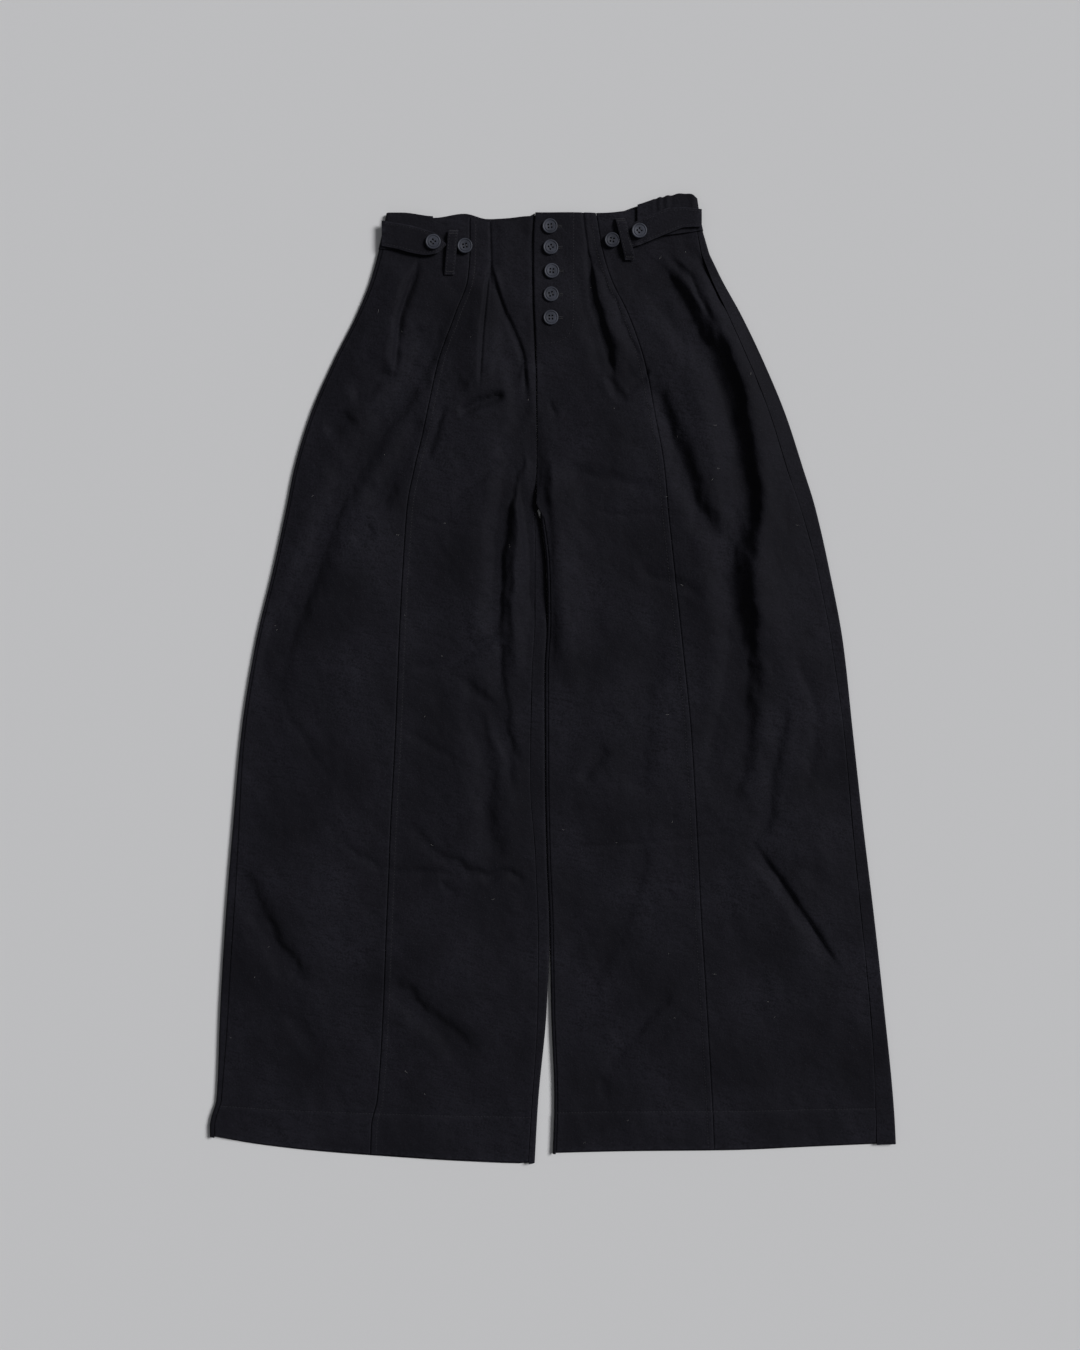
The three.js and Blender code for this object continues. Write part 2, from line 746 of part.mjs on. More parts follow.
function tab(name, table, height) {
  const steps = 14;
  const low = curve(table, "x", "low");
  const high = curve(table, "x", "high");
  const from = table[0].x;
  const to = table[table.length - 1].x;
  clothPiece(name, {
    rows: evenly(3),
    columns: steps + 1,
    top: high,
    foot: low,
    section: (j) => {
      const x = mix(from, to, j / steps);
      return { x, z: height(x), outX: 0, outZ: 1 };
    },
  });
}

const tabHeightR = (x) => mix(TAB_ON_BAND, TAB_ON_PANEL, smooth(-129, -119, x));
const tabHeightL = (x) =>
  mix(TAB_ON_BAND + 2 * BAND.gather * smooth(96, 104, x), TAB_ON_PANEL, smooth(91.5, 84, x));

tab("tab_R", TAB_R, tabHeightR);
tab("tab_L", TAB_L, tabHeightL);

// The belt loops, sewn down at both ends and standing off between

const LOOP_WIDTH = 11;
const LOOP_THICK = 1.3;
const LOOPS = [
  { name: "belt_loop_R", topX: -108.6, topY: 492, footX: -113, footY: 443, arch: 1.6 },
  { name: "belt_loop_L", topX: 74, topY: 505, footX: 85, footY: 459, arch: 3 },
];

LOOPS.forEach(({ name, topX, topY, footX, footY, arch }) => {
  const columns = 3;
  clothPiece(name, {
    rows: evenly(10),
    columns,
    top: () => topY,
    foot: () => footY,
    thick: LOOP_THICK,
    section: (j, y, down) => {
      const x = mix(topX, footX, down) + LOOP_WIDTH * (j / (columns - 1) - 0.5);
      const rise = arch * smooth(0, 0.14, down) * smooth(1, 0.8, down);
      return { x, z: EDGE_HEIGHT + SEAM_GAP + LOOP_THICK + rise, outX: 0, outZ: 1 };
    },
  });
});

// The buttons: a dished disc with a raised rim and four holes

const BUTTON = {
  radius: 8.2,
  rimInner: 6.4,
  rimTop: 3.2,
  dishTop: 2.7,
  edge: 1.0,
  holeRadius: 1.0,
  holeAt: 1.7,
  around: 20,
};

function buttonSolid() {
  const profile = [
    [0, 0],
    [BUTTON.radius - BUTTON.edge, 0],
    [BUTTON.radius, BUTTON.edge],
    [BUTTON.radius, BUTTON.rimTop - BUTTON.edge],
    [BUTTON.radius - BUTTON.edge, BUTTON.rimTop],
    [BUTTON.rimInner, BUTTON.dishTop],
    [0, BUTTON.dishTop],
  ];
  const disc = new CrossSection([profile]).revolve(BUTTON.around);
  const hole = Manifold.cylinder(BUTTON.rimTop * 3, BUTTON.holeRadius, BUTTON.holeRadius, 6);
  const holes = [-1, 1].flatMap((sx) =>
    [-1, 1].map((sy) => hole.translate([sx * BUTTON.holeAt, sy * BUTTON.holeAt, -BUTTON.rimTop])),
  );
  return disc.subtract(Manifold.union(holes));
}

const BUTTONS = [
  { name: "fly_button_1", x: -2.9, y: 496, on: EDGE_HEIGHT },
  { name: "fly_button_2", x: -2.1, y: 473, on: EDGE_HEIGHT },
  { name: "fly_button_3", x: -0.9, y: 447, on: EDGE_HEIGHT },
  { name: "fly_button_4", x: -1.7, y: 421.5, on: EDGE_HEIGHT },
  { name: "fly_button_5", x: -1.9, y: 396, on: EDGE_HEIGHT },
  { name: "tab_button_R", x: -130.5, y: 477.5, on: TAB_ON_BAND },
  { name: "side_button_R", x: -96, y: 474.5, on: EDGE_HEIGHT },
  { name: "side_button_L", x: 65.2, y: 480.8, on: EDGE_HEIGHT },
  { name: "tab_button_L", x: 94.6, y: 489.4, on: TAB_ON_BAND + 1 },
];
const BUTTON_LIFT = 0.5; // thread holds each button this far off the cloth

const solid = buttonSolid().getMesh();
BUTTONS.forEach(({ name, x, y, on }) => {
  const geometry = new THREE.BufferGeometry();
  const points = new Float32Array(solid.numVert * 3);
  for (let i = 0; i < solid.numVert; i += 1) {
    const at = solid.vertProperties.subarray(i * solid.numProp, i * solid.numProp + 3);
    points.set(at, i * 3);
  }
  geometry.setAttribute("position", new THREE.BufferAttribute(points, 3));
  geometry.setIndex([...solid.triVerts]);
  geometry.translate(x, y, on + BUTTON_LIFT);
  addMesh(name, geometry, buttonMaterial);
});

export default trousers;
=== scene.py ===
# %% [markdown]
# # Black wide-leg trousers, laid out flat
# The trousers lie on their back on a pale floor and are seen from straight above. The frame gives the
# size and place of every piece. Here each cloth piece becomes a thin shell with its seams, folds and
# creases, and then come the stitching, the buttons, the materials, the light and the camera.

# %% Load the frame
import math
import random

import bmesh
import bpy
import numpy as np
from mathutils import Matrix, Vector, noise
from mathutils.bvhtree import BVHTree


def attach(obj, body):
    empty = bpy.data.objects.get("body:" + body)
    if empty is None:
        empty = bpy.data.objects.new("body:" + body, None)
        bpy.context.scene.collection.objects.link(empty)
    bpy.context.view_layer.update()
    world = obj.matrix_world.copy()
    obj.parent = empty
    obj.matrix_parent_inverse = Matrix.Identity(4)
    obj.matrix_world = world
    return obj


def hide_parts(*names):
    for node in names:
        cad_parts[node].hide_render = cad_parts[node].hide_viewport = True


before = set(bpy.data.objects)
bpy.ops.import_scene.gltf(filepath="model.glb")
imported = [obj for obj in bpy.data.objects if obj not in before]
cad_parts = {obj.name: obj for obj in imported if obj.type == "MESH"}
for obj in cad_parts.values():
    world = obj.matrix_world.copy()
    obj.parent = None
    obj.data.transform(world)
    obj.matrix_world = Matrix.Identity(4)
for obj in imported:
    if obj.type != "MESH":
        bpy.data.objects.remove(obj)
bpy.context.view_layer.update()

# %% [markdown]
# A flat garment is mostly its outline, so the sizes come as short tables. All of them are in
# millimetres, with X across to the wearer's left, Y up to the waist and Z up from the floor. R and L
# are the wearer's right and left. A smooth line through a column of a table gives an edge or a seam,
# and the line never swings past the rows that it joins.

# %% Tables and smooth lines
MM = 0.001


def table(names, *rows):
    """A table with named columns."""
    return [dict(zip(names.split(), row)) for row in rows]


def mix(a, b, t):
    return a + (b - a) * t


def smooth(start, end, value):
    """Runs softly from 0 at start to 1 at end."""
    t = np.clip((value - start) / (end - start), 0, 1)
    return t * t * (3 - 2 * t)


def bell(distance, width):
    return np.exp(-((distance / width) ** 2))


def line_through(rows, along, column):
    """A smooth line through one column of a table."""
    rows = sorted(rows, key=lambda row: row[along])
    at = np.array([row[along] for row in rows], float)
    value = np.array([row[column] for row in rows], float)
    rise = np.diff(value) / np.diff(at)
    slope = np.concatenate(([rise[0]], np.zeros(len(rise) - 1), [rise[-1]]))
    for i in range(1, len(rise)):
        if rise[i - 1] * rise[i] > 0:
            slope[i] = 2 * rise[i - 1] * rise[i] / (rise[i - 1] + rise[i])

    def read(x):
        x = np.clip(x, at[0], at[-1])
        i = np.clip(np.searchsorted(at, x, side="right") - 1, 0, len(at) - 2)
        step = at[i + 1] - at[i]
        t = (x - at[i]) / step
        bend = t * (1 - t) ** 2 * slope[i] - t * t * (1 - t) * slope[i + 1]
        return mix(value[i], value[i + 1], t * t * (3 - 2 * t)) + step * bend

    return read


def lines_through(rows, along):
    """A smooth line through each of the other columns, in the table's order."""
    return [line_through(rows, along, column) for column in rows[0] if column != along]


# %% The outline and the long seams
SECTIONS = table(
    "y outer_r princess_r princess_l outer_l",
    (530, -178, -90, 44, 158),
    (510, -182, -91, 48, 161),
    (470, -191, -91, 55, 171),
    (440, -199, -93, 64, 185),
    (400, -215, -107, 83, 207),
    (350, -240, -125, 100, 231),
    (290, -266, -138, 112.5, 256),
    (230, -284, -152, 122.5, 275.5),
    (190, -292, -159.5, 126, 288),
    (120, -307, -164.5, 133.5, 304),
    (40, -326, -168.7, 142, 319),
    (-60, -342, -172.7, 152, 330),
    (-160, -351, -178, 158, 341),
    (-260, -359, -182, 163, 353),
    (-360, -365, -186, 169, 364),
    (-460, -369, -192.5, 175, 374),
    (-490, -376.5, -199, 176.5, 376),
    (-535, -375, -200.5, 178, 378),
)
SIDE_SEAMS = table(
    "y in_r in_l",
    (510, 4.5, 4.5),
    (350, 3.6, 18),
    (230, 3.6, 18.5),
    (120, 3.6, 13.5),
    (40, 3.6, 13),
    (-60, 4, 10),
    (-260, 9, 14.3),
    (-360, 9, 15.3),
    (-460, 5.5, 19.6),
    (-535, 5.5, 22.4),
)
INNER_EDGES = table(
    "y inner_r inner_l in_r in_l",
    (200, -18.4, -17.8, 4, 3.6),
    (176, -13.6, -13.4, 6, 3.6),
    (120, -7.1, -6.9, 12, 3.6),
    (64, -6.1, -5.9, 13, 3.6),
    (5, -8.8, -8.6, 13.6, 3.6),
    (-116, -8.2, -8, 16, 3.6),
    (-198, -6.4, -6.2, 12, 3.6),
    (-279, -3.4, -3.2, 12, 3.6),
    (-364, -6.5, -1.7, 9.6, 3.6),
    (-463, -15.7, 1.7, 6.4, 3.6),
    (-535, -19.8, -0.5, 6.8, 3.6),
)
CENTRE_FRONT = table(
    "y x", (530, -17.8), (475, -21), (417, -20.3), (370, -18.4), (308, -17.4), (253, -17.4), (190, -18.1)
)
CROTCH = 190
LEG_GAP = 0.2

outer_r, princess_r, princess_l, outer_l = lines_through(SECTIONS, "y")
side_in_r, side_in_l = lines_through(SIDE_SEAMS, "y")
inner_r, inner_l_table, inseam_in_r, inseam_in_l = lines_through(INNER_EDGES, "y")
centre_front = line_through(CENTRE_FRONT, "y", "x")


def inner_l(y):
    return np.maximum(inner_l_table(y), inner_r(y) + LEG_GAP)


def side_r(y):
    return outer_r(y) + side_in_r(y)


def side_l(y):
    return outer_l(y) - side_in_l(y)


print("the hem of each leg is", round(float(inner_r(-520) - outer_r(-520))), "mm and",
      round(float(outer_l(-520) - inner_l(-520))), "mm wide")

# %% The top edges and the hems
WAIST_FRONT = table(
    "x y", (-185, 506), (-131, 503), (-97, 507), (-71, 501.6), (-50, 502), (-25, 508), (-18, 511.5),
    (55, 511.5), (94, 516), (120, 521), (147, 526), (165, 523),
)
WAIST_BACK = table(
    "x y", (-185, 511), (-165, 511), (-130, 507), (-97, 511.5), (-71, 505.5), (-50, 506.5), (-25, 509),
    (55, 509), (94, 520), (120, 528), (147, 532), (160, 527),
)
HEM_R = table(
    "x y", (-377, -502), (-322, -511.5), (-256, -519), (-177, -525), (-97, -530), (-31, -532.4),
    (-20, -531),
)
HEM_L = table("x y", (0, -521), (88, -519), (193, -518), (285, -514), (378, -510))
BAND_SEAM = dict(x=-20.9, y=467, slope_r=-0.027, slope_l=0.133)

waist_front = line_through(WAIST_FRONT, "x", "y")
waist_back = line_through(WAIST_BACK, "x", "y")
hem_r = line_through(HEM_R, "x", "y")
hem_l = line_through(HEM_L, "x", "y")


def band_seam(x):
    slope = np.where(x < BAND_SEAM["x"], BAND_SEAM["slope_r"], BAND_SEAM["slope_l"])
    return BAND_SEAM["y"] + slope * (x - BAND_SEAM["x"])


# %% [markdown]
# The folds are what makes cloth look like cloth, and no two on these trousers are alike. A cloth
# simulation would give other folds than these, so they are listed one by one: broad swells where the
# front stands off the back, and over them pleats, troughs and creases that each run along their own
# line. A fold's height is above the cloth round it, and its two widths may differ, so that one side
# of a pleat falls steeply and the other slopes away. Darts, pressed pleats and sharp creases come in
# a table of their own: they are narrow, and they run true where the other folds waver.

# %% The swells and the large folds of the front
SWELLS = table(
    "x y high wide tall",
    (185, 300, 13, 66, 130),
    (212, 85, 11.5, 56, 130),
    (60, 260, 4.5, 60, 110),
    (-190, 330, 7.5, 55, 110),
    (-235, 130, 7.5, 60, 110),
    (-85, 335, 6.5, 50, 80),
    (-70, 130, 6, 50, 120),
    (-290, -270, 6.5, 60, 80),
    (-120, -330, 6, 60, 80),
    (-75, -130, 6.5, 45, 100),
    (-230, -80, 3, 60, 90),
    (270, -250, 5.5, 60, 90),
    (90, -60, 5, 60, 110),
    (120, -350, 3.5, 60, 80),
    (260, -60, 4, 45, 110),
)
FOLDS = table(
    "name high left right run",
    ("pleat below the right tab", 4, 7, 18, ((-154, 460), (-168, 426), (-177, 382), (-182, 327))),
    ("long trough of the right thigh", -9, 15, 15,
     ((-116, 418), (-154, 330), (-229, 210), (-264, 122), (-307, 22), (-301, -33))),
    ("short trough beside it", -6, 14, 12, ((-138, 292), (-166, 242), (-206, 180))),
    ("right dart's outer pleat edge", 3, 5, 16, ((-74, 458), (-80, 388), (-83, 360), (-85, 320))),
    ("right dart's inner pleat edge", 6, 12, 5, ((-66, 457), (-52, 409), (-32, 363), (-27, 320))),
    ("left dart's pleat edge", 6, 14, 8, ((42, 465), (52, 415), (70, 363), (74, 331))),
    ("hollow beside the right dart", -3, 7, 7, ((-106, 293), (-80, 303), (-50, 314))),
    ("trough down from the crotch", -8, 8, 12, ((-22, 296), (-52, 197), (-63, 87), (-68, 30))),
    ("ridge between the crotch's troughs", 5, 9, 7,
     ((-27, 262), (-36, 190), (-41, 120), (-42, 55), (-38, -10))),
    ("hollow between the legs", -5.5, 8, 8,
     ((-20, 300), (-21, 240), (-21, 186), (-18, 120), (-15, 60))),
    ("bulge of the left leg's inner edge", 8, 24, 6,
     ((-3, 262), (0, 220), (1, 175), (3, 120), (5, 60), (6, 0))),
    ("main trough of the left thigh", -14, 15, 18,
     ((84, 485), (122, 431), (151, 385), (183, 329), (205, 240),
      (207, 190), (195, 120), (203, 36), (187, -150))),
    ("ridge outside the main trough", 6, 18, 9,
     ((112, 480), (147, 431), (176, 385), (206, 325), (228, 190), (222, 110), (226, 30))),
    ("second trough of the left thigh", -8, 9, 13, ((107, 333), (130, 272), (157, 195), (192, 138))),
    ("slanting fold of the right shin", -7.5, 9, 15, ((-349, -202), (-304, -289), (-266, -339))),
    ("slanting fold inside the right shin", -7, 9, 14, ((-180, -329), (-128, -376), (-84, -416))),
    ("trough inside the right knee", -7, 12, 16, ((-101, -8), (-77, -67), (-71, -155), (-64, -215))),
    ("slanting crease of the left shin", -4, 6, 7,
     ((212, -179), (245, -220), (286, -281), (314, -324))),
)
print(len(SWELLS), "swells and", len(FOLDS), "large folds")

# %% The creases
CREASES = table(
    "name high left right run",
    ("fold below the end of the left tab", -4.5, 5, 6,
     ((148, 486), (162, 460), (178, 434), (192, 400))),
    ("short fold below the pocket", -3, 5, 7, ((-140, 386), (-168, 361))),
    ("fold across the right thigh", -2.6, 6, 6, ((-51, 243), (-111, 197))),
    ("light crease of the right thigh", -1.3, 2.5, 3, ((-153, 178), (-112, 169), (-73, 166))),
    ("bump above the hollow", 3, 9, 9, ((-102, 321), (-85, 330), (-62, 338))),
    ("fold beside the fly's foot", -3, 6, 5, ((-27, 302), (-61, 240))),
    ("crisp fold below the crotch", -3.4, 3, 6,
     ((-22, 290), (-47, 197), (-55, 139), (-59, 86), (-62, 32))),
    ("arch over the right knee", -4.2, 5, 6, ((-160, 14), (-122, 14), (-92, 28), (-64, 45), (-50, 36))),
    ("slanting fold inside the right knee", -4, 6, 9, ((-110, 4), (-72, -23), (-50, -66), (-32, -100))),
    ("fold under the back of the right knee", -3, 5, 7,
     ((-168, -152), (-131, -186), (-78, -214), (-46, -204))),
    ("second arch over the right knee", -2.2, 4, 5, ((-62, 44), (-56, 26), (-54, 4))),
    ("line behind the right knee", -2.2, 4, 4, ((-245, -166), (-190, -206), (-113, -212), (-50, -208))),
    ("nick of the right shin", -1.6, 4, 4, ((-124, -221), (-103, -239))),
    ("dent inside the right shin", -3, 3, 4, ((-79, -217), (-54, -212), (-30, -220))),
    ("fold above the right hem", -2.8, 9, 9, ((-294, -361), (-250, -420))),
    ("small fold at the right knee", -1.8, 5, 5, ((-164, -56), (-103, -92))),
    ("fold beside the right princess seam", -3, 5, 5, ((-116, 302), (-141, 240))),
    ("dent of the right hip", -2, 8, 8, ((-172, 216), (-190, 194))),
    ("second dent of the right hip", -2.2, 8, 8, ((-196, 169), (-215, 151))),
    ("upper blot of the right hip", -5, 11, 9, ((-225, 306), (-196, 322), (-170, 340))),
    ("lower blot of the right hip", -4, 10, 9, ((-250, 268), (-215, 288))),
    ("edge of the trough at the right knee", -0.8, 3, 4,
     ((-302, 12), (-292, -35), (-262, -80), (-236, -120))),
    ("fold beside the main trough", -4, 4, 4,
     ((126, 471), (138, 449), (153, 438), (163, 415), (175, 381))),
    ("crisp side of the main trough", -3, 4, 5,
     ((170, 400), (198, 326), (216, 250), (219, 190), (208, 140))),
    ("lower crisp side of the main trough", -2.6, 4, 5,
     ((206, 130), (217, 60), (214, 20), (202, -60), (197, -140))),
    ("short crease at the left hip", -3, 3, 3, ((81, 312), (96, 326), (106, 340))),
    ("shade beside the left dart", -4, 14, 10, ((32, 446), (41, 400), (53, 360), (62, 330))),
    ("shade beside the right dart's foot", -3, 12, 8, ((-48, 362), (-42, 330), (-38, 300), (-36, 280))),
    ("nick at the left dart's end", -2.8, 4, 4, ((56, 335), (68, 316), (84, 306))),
    ("soft line of the left thigh", -2.4, 7, 7, ((-3, 230), (52, 222), (118, 208))),
    ("light line of the left thigh", -1.4, 3, 3, ((41, 185), (80, 180), (125, 182))),
    ("hook of the left thigh", -2.2, 6, 6, ((88, 122), (112, 112), (138, 106), (165, 84))),
    ("light line of the left hip", -1.2, 4, 4, ((75, 255), (118, 262))),
    ("fold down the left calf", -3, 6, 12, ((258, -10), (244, -90), (236, -150), (212, -190))),
    ("fold inside the left calf", -2.4, 6, 10, ((226, 40), (216, -30), (214, -110))),
    ("fold down to the right knee's arch", -3.4, 5, 12, ((-60, 46), (-56, 0), (-50, -60), (-46, -130))),
    ("nick below the fly", -2, 3, 3, ((-5, 305), (4, 287))),
    ("soft fold of the left shin", -3, 8, 14, ((104, -160), (90, -230), (62, -300), (30, -352))),
    ("dent of the left knee", -3, 6, 7, ((62, -74), (46, -92), (28, -114))),
    ("fold above the left hem", -3, 6, 12, ((134, -335), (98, -380), (54, -432))),
    ("nick above the left hem", -1.8, 4, 4, ((53, -438), (57, -461))),
    ("wide hollow of the left knee", -3.4, 15, 20, ((112, 60), (100, -50), (94, -150))),
    ("arch of the left shin", -1.5, 7, 7, ((232, -222), (272, -206), (300, -232))),
    ("fold outside the left knee", -1.8, 7, 7, ((262, 40), (288, -40), (276, -130))),
    ("left dart's outer line", -1.2, 2, 3, ((38, 470), (60, 430), (86, 372), (100, 335))),
)
print(len(CREASES), "creases")

# %% The crisp lines
CRISP_LINES = table(
    "name high left right run",
    ("right dart's seam", -1.3, 1.6, 1.6, ((-69, 530), (-69, 500), (-68, 470), (-68, 440), (-68, 425))),
    ("left dart's seam", -1.3, 1.6, 1.6, ((32, 535), (34, 503), (37, 480), (40, 455), (43, 435))),
    ("right dart's outer line", -2.4, 1.5, 2.2,
     ((-68, 462), (-70, 445), (-76, 385), (-79, 335), (-80, 312))),
    ("right dart's inner line", -4, 1.7, 4,
     ((-68, 465), (-66, 447), (-53, 405), (-47, 393), (-33, 358), (-29, 325), (-28, 300))),
    ("left dart's inner line", -4.5, 1.8, 5, ((36, 480), (42, 450), (48, 413), (62, 366), (68, 325))),
    ("line of the right tab's pleat", -5, 5, 2,
     ((-146, 466), (-151, 448), (-164, 410), (-168, 395), (-173, 345), (-174, 325))),
    ("pressed line across the left knee", -1.5, 2, 2.4,
     ((-2, -186), (38, -184), (96, -180), (160, -174), (221, -163))),
    ("sharp crease of the left shin", -2.4, 1.8, 3.5,
     ((214, -172), (249, -218), (290, -279), (321, -326))),
    ("slit beside the right dart", -8, 3.8, 3.8,
     ((-104, 291), (-92, 296), (-78, 303), (-64, 308), (-52, 313))),
)
print(len(CRISP_LINES), "crisp lines")


# %% How the folds add up
def smoothed(run, pieces=5):
    """The run's points with a soft curve through them."""
    points = [np.array(p, float) for p in run]
    ends = [2 * points[0] - points[1], *points, 2 * points[-1] - points[-2]]
    out = []
    for i in range(1, len(ends) - 2):
        a, b, c, d = ends[i - 1 : i + 3]
        for step in range(pieces):
            t = step / pieces
            bend = (2 * a - 5 * b + 4 * c - d) * t**2
            out.append(0.5 * (2 * b + (c - a) * t + bend + (3 * b - a - 3 * c + d) * t**3))
    out.append(points[-1])
    return np.array(out)


TAPER = dict(share=0.22, longest=55)


def fold_heights(folds, x, y):
    """The height that the folds add at each point."""
    total = np.zeros(np.broadcast(x, y).shape)
    for fold in folds:
        run = smoothed(fold["run"])
        lengths = np.hypot(*np.diff(run, axis=0).T)
        walked = np.concatenate(([0], np.cumsum(lengths)))
        best = np.full(total.shape, np.inf)
        along = np.zeros(total.shape)
        on_left = np.zeros(total.shape, bool)
        for (ax, ay), (bx, by), length, start in zip(run[:-1], run[1:], lengths, walked):
            t = np.clip(((x - ax) * (bx - ax) + (y - ay) * (by - ay)) / length**2, 0, 1)
            distance = np.hypot(x - mix(ax, bx, t), y - mix(ay, by, t))
            nearer = distance < best
            best = np.where(nearer, distance, best)
            along = np.where(nearer, (start + t * length) / walked[-1], along)
            left = (bx - ax) * (y - ay) - (by - ay) * (x - ax) > 0
            on_left = np.where(nearer, left, on_left)
        end = min(TAPER["share"], TAPER["longest"] / walked[-1])
        taper = smooth(0, end, along) * smooth(1, 1 - end, along)
        width = np.where(on_left, fold["left"], fold["right"])
        total += fold["high"] * taper * bell(best, width)
    return total


# %% [markdown]
# Now the height of the front at any spot. It rises over the rolled edges of the legs, sinks towards
# the back between them, and never sinks into it. The fly is four layers thick, so it stays up. Just
# below the crotch is a dark pit: the right leg's inner edge sinks and the left leg's bulges over it.

# %% The height of the front
EDGE_HEIGHT = 5.2
SETTLE = 1.4
SETTLE_REACH = 18
LOWEST_TOP = 2.7
SOFT = 0.8
FOLD_FADE = 15
CREASE_FADE = 6
FLAT_ABOVE = 472
FULL_BELOW = dict(folds=440, creases=452)
FAR_AWAY = 1000
FLY = dict(left=-52, right=34, foot=352, fade=14)
PIT = dict(foot=40, low=100, high=205, top=250, deep=2.4, rise=4, reach=16, fade=9,
           bulge_out=26, bulge_full=4, edge_out=40, edge_full=30)


def edge_distance(x, y):
    """How far in from the edge of its leg a point lies."""
    above = np.maximum(0, y - CROTCH)
    on_right = x < centre_front(np.maximum(y, CROTCH))
    outside = np.where(on_right, x - outer_r(y), outer_l(y) - x)
    inside = np.where(on_right, inner_r(y) - x, x - inner_l(y)) + above
    return np.maximum(0, np.minimum(outside, np.abs(inside)))


def swell_heights(x, y):
    return sum(s["high"] * bell(x - s["x"], s["wide"]) * bell(y - s["y"], s["tall"]) for s in SWELLS)


def fly_share(x, y):
    """How much of the fly's thick layers lies below a point, from 0 to 1."""
    fade = FLY["fade"]
    across = smooth(FLY["left"] - fade, FLY["left"], x) * smooth(FLY["right"] + fade, FLY["right"], x)
    return across * smooth(FLY["foot"] - fade, FLY["foot"], y)


def pit_share(y):
    """How much the pit below the crotch changes both legs' inner edges at y, from 0 to 1."""
    return smooth(PIT["foot"], PIT["low"], y) * smooth(PIT["top"], PIT["high"], y)


def noise_at(x, y, across, along, seed):
    """Smooth noise from -1 to 1, with humps of the given size in millimetres."""
    flat = zip(np.ravel(x) / across, np.ravel(y) / along)
    return np.array([noise.noise(Vector((a, b, seed))) for a, b in flat]).reshape(np.shape(x))


def ragged(x, y):
    """Moves each point a little, so that a fold looked up there wavers as a hand-made one does."""
    aside = 3.4 * noise_at(x, y, 17, 17, 2.5) + 1.5 * noise_at(x, y, 6.5, 6.5, 5.5)
    down = 3.4 * noise_at(x, y, 17, 17, 12.5) + 1.5 * noise_at(x, y, 6.5, 6.5, 15.5)
    return x + aside, y + down


def front_height(x, y, creases=()):
    """Height of the front's outer face, without its seams and crisp lines."""
    edge = edge_distance(x, y)
    fly = fly_share(x, y)
    settle = SETTLE * (1 - bell(edge, SETTLE_REACH)) * (1 - fly)
    below_band = smooth(FLAT_ABOVE, FULL_BELOW["folds"], y)
    grown = (1 - bell(edge, FOLD_FADE)) * below_band * (1 - fly)
    fold_x, fold_y = ragged(x, y)
    wanted = EDGE_HEIGHT - settle + grown * (swell_heights(x, y) + fold_heights(FOLDS, fold_x, fold_y))
    if creases:
        shown = smooth(FLAT_ABOVE, FULL_BELOW["creases"], y) * (1 - bell(edge, CREASE_FADE))
        wanted = wanted + shown * fold_heights(creases, fold_x, fold_y)
    on_right = x < centre_front(np.maximum(y, CROTCH))
    bulge = PIT["rise"] * pit_share(y) * smooth(PIT["bulge_out"], PIT["bulge_full"], x - inner_l(y))
    wanted = wanted + np.where(on_right, 0, bulge)
    from_inner = np.where(on_right, inner_r(y) - x, FAR_AWAY)
    in_pit = smooth(PIT["reach"] + PIT["fade"], PIT["reach"], from_inner)
    kept = LOWEST_TOP + SOFT * np.logaddexp(0, (wanted - LOWEST_TOP) / SOFT)
    return mix(kept, EDGE_HEIGHT - PIT["deep"], pit_share(y) * in_pit)


# %% [markdown]
# Every cloth piece is a grid of points on its outer face and the same grid moved inwards by the
# cloth's thickness, closed round its four sides. A plane with a Solidify modifier would do too, but
# two grids give exact edges where one piece ends 0.3 mm from the next.

# %% A closed sheet from two grids
SHELL = 1.1
SEAM_GAP = 0.34
SHARP_EDGE = math.radians(50)


def new_object(name, data):
    obj = bpy.data.objects.new(name, data)
    bpy.context.scene.collection.objects.link(obj)
    return obj


def closed_sheet(name, outer, inner, worn=None):
    """An object from two grids of points, in millimetres, with a wear value on each point."""
    rows, columns = outer.shape[:2]
    points = np.concatenate((outer.reshape(-1, 3), inner.reshape(-1, 3))) * MM
    index = np.arange(rows * columns).reshape(rows, columns)
    below = index + rows * columns

    def quads(a, b, c, d):
        return np.stack((a, b, c, d), axis=-1).reshape(-1, 4)

    faces = np.concatenate((
        quads(index[:-1, :-1], index[:-1, 1:], index[1:, 1:], index[1:, :-1]),
        quads(below[:-1, :-1], below[1:, :-1], below[1:, 1:], below[:-1, 1:]),
        quads(index[:-1, 0], index[1:, 0], below[1:, 0], below[:-1, 0]),
        quads(index[1:, -1], index[:-1, -1], below[:-1, -1], below[1:, -1]),
        quads(index[0, 1:], index[0, :-1], below[0, :-1], below[0, 1:]),
        quads(index[-1, :-1], index[-1, 1:], below[-1, 1:], below[-1, :-1]),
    ))
    mesh = bpy.data.meshes.new(name)
    mesh.from_pydata(points.tolist(), [], faces.tolist())
    volume = bmesh.new()
    volume.from_mesh(mesh)
    if volume.calc_volume(signed=True) < 0:
        bmesh.ops.reverse_faces(volume, faces=volume.faces)
        volume.to_mesh(mesh)
    volume.free()
    wear = np.zeros(rows * columns) if worn is None else np.clip(worn, 0, 1).reshape(-1)
    layer = mesh.attributes.new("worn", "FLOAT", "POINT")
    layer.data.foreach_set("value", np.concatenate((wear, wear)).astype(np.float32))
    mesh.shade_smooth()
    mesh.set_sharp_from_angle(angle=SHARP_EDGE)
    return new_object(name, mesh)


def declare(piece, node):
    """Hangs a cloth piece under the root and hides the node that it stands in for."""
    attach(piece, "root")
    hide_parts(node)


def thin_sheet(node, outer, outwards, worn):
    """The closed cloth of a node, from its outer face and the way out at every point."""
    piece = closed_sheet(node + "_cloth", outer, outer - SHELL * outwards, worn)
    declare(piece, node)
    return piece


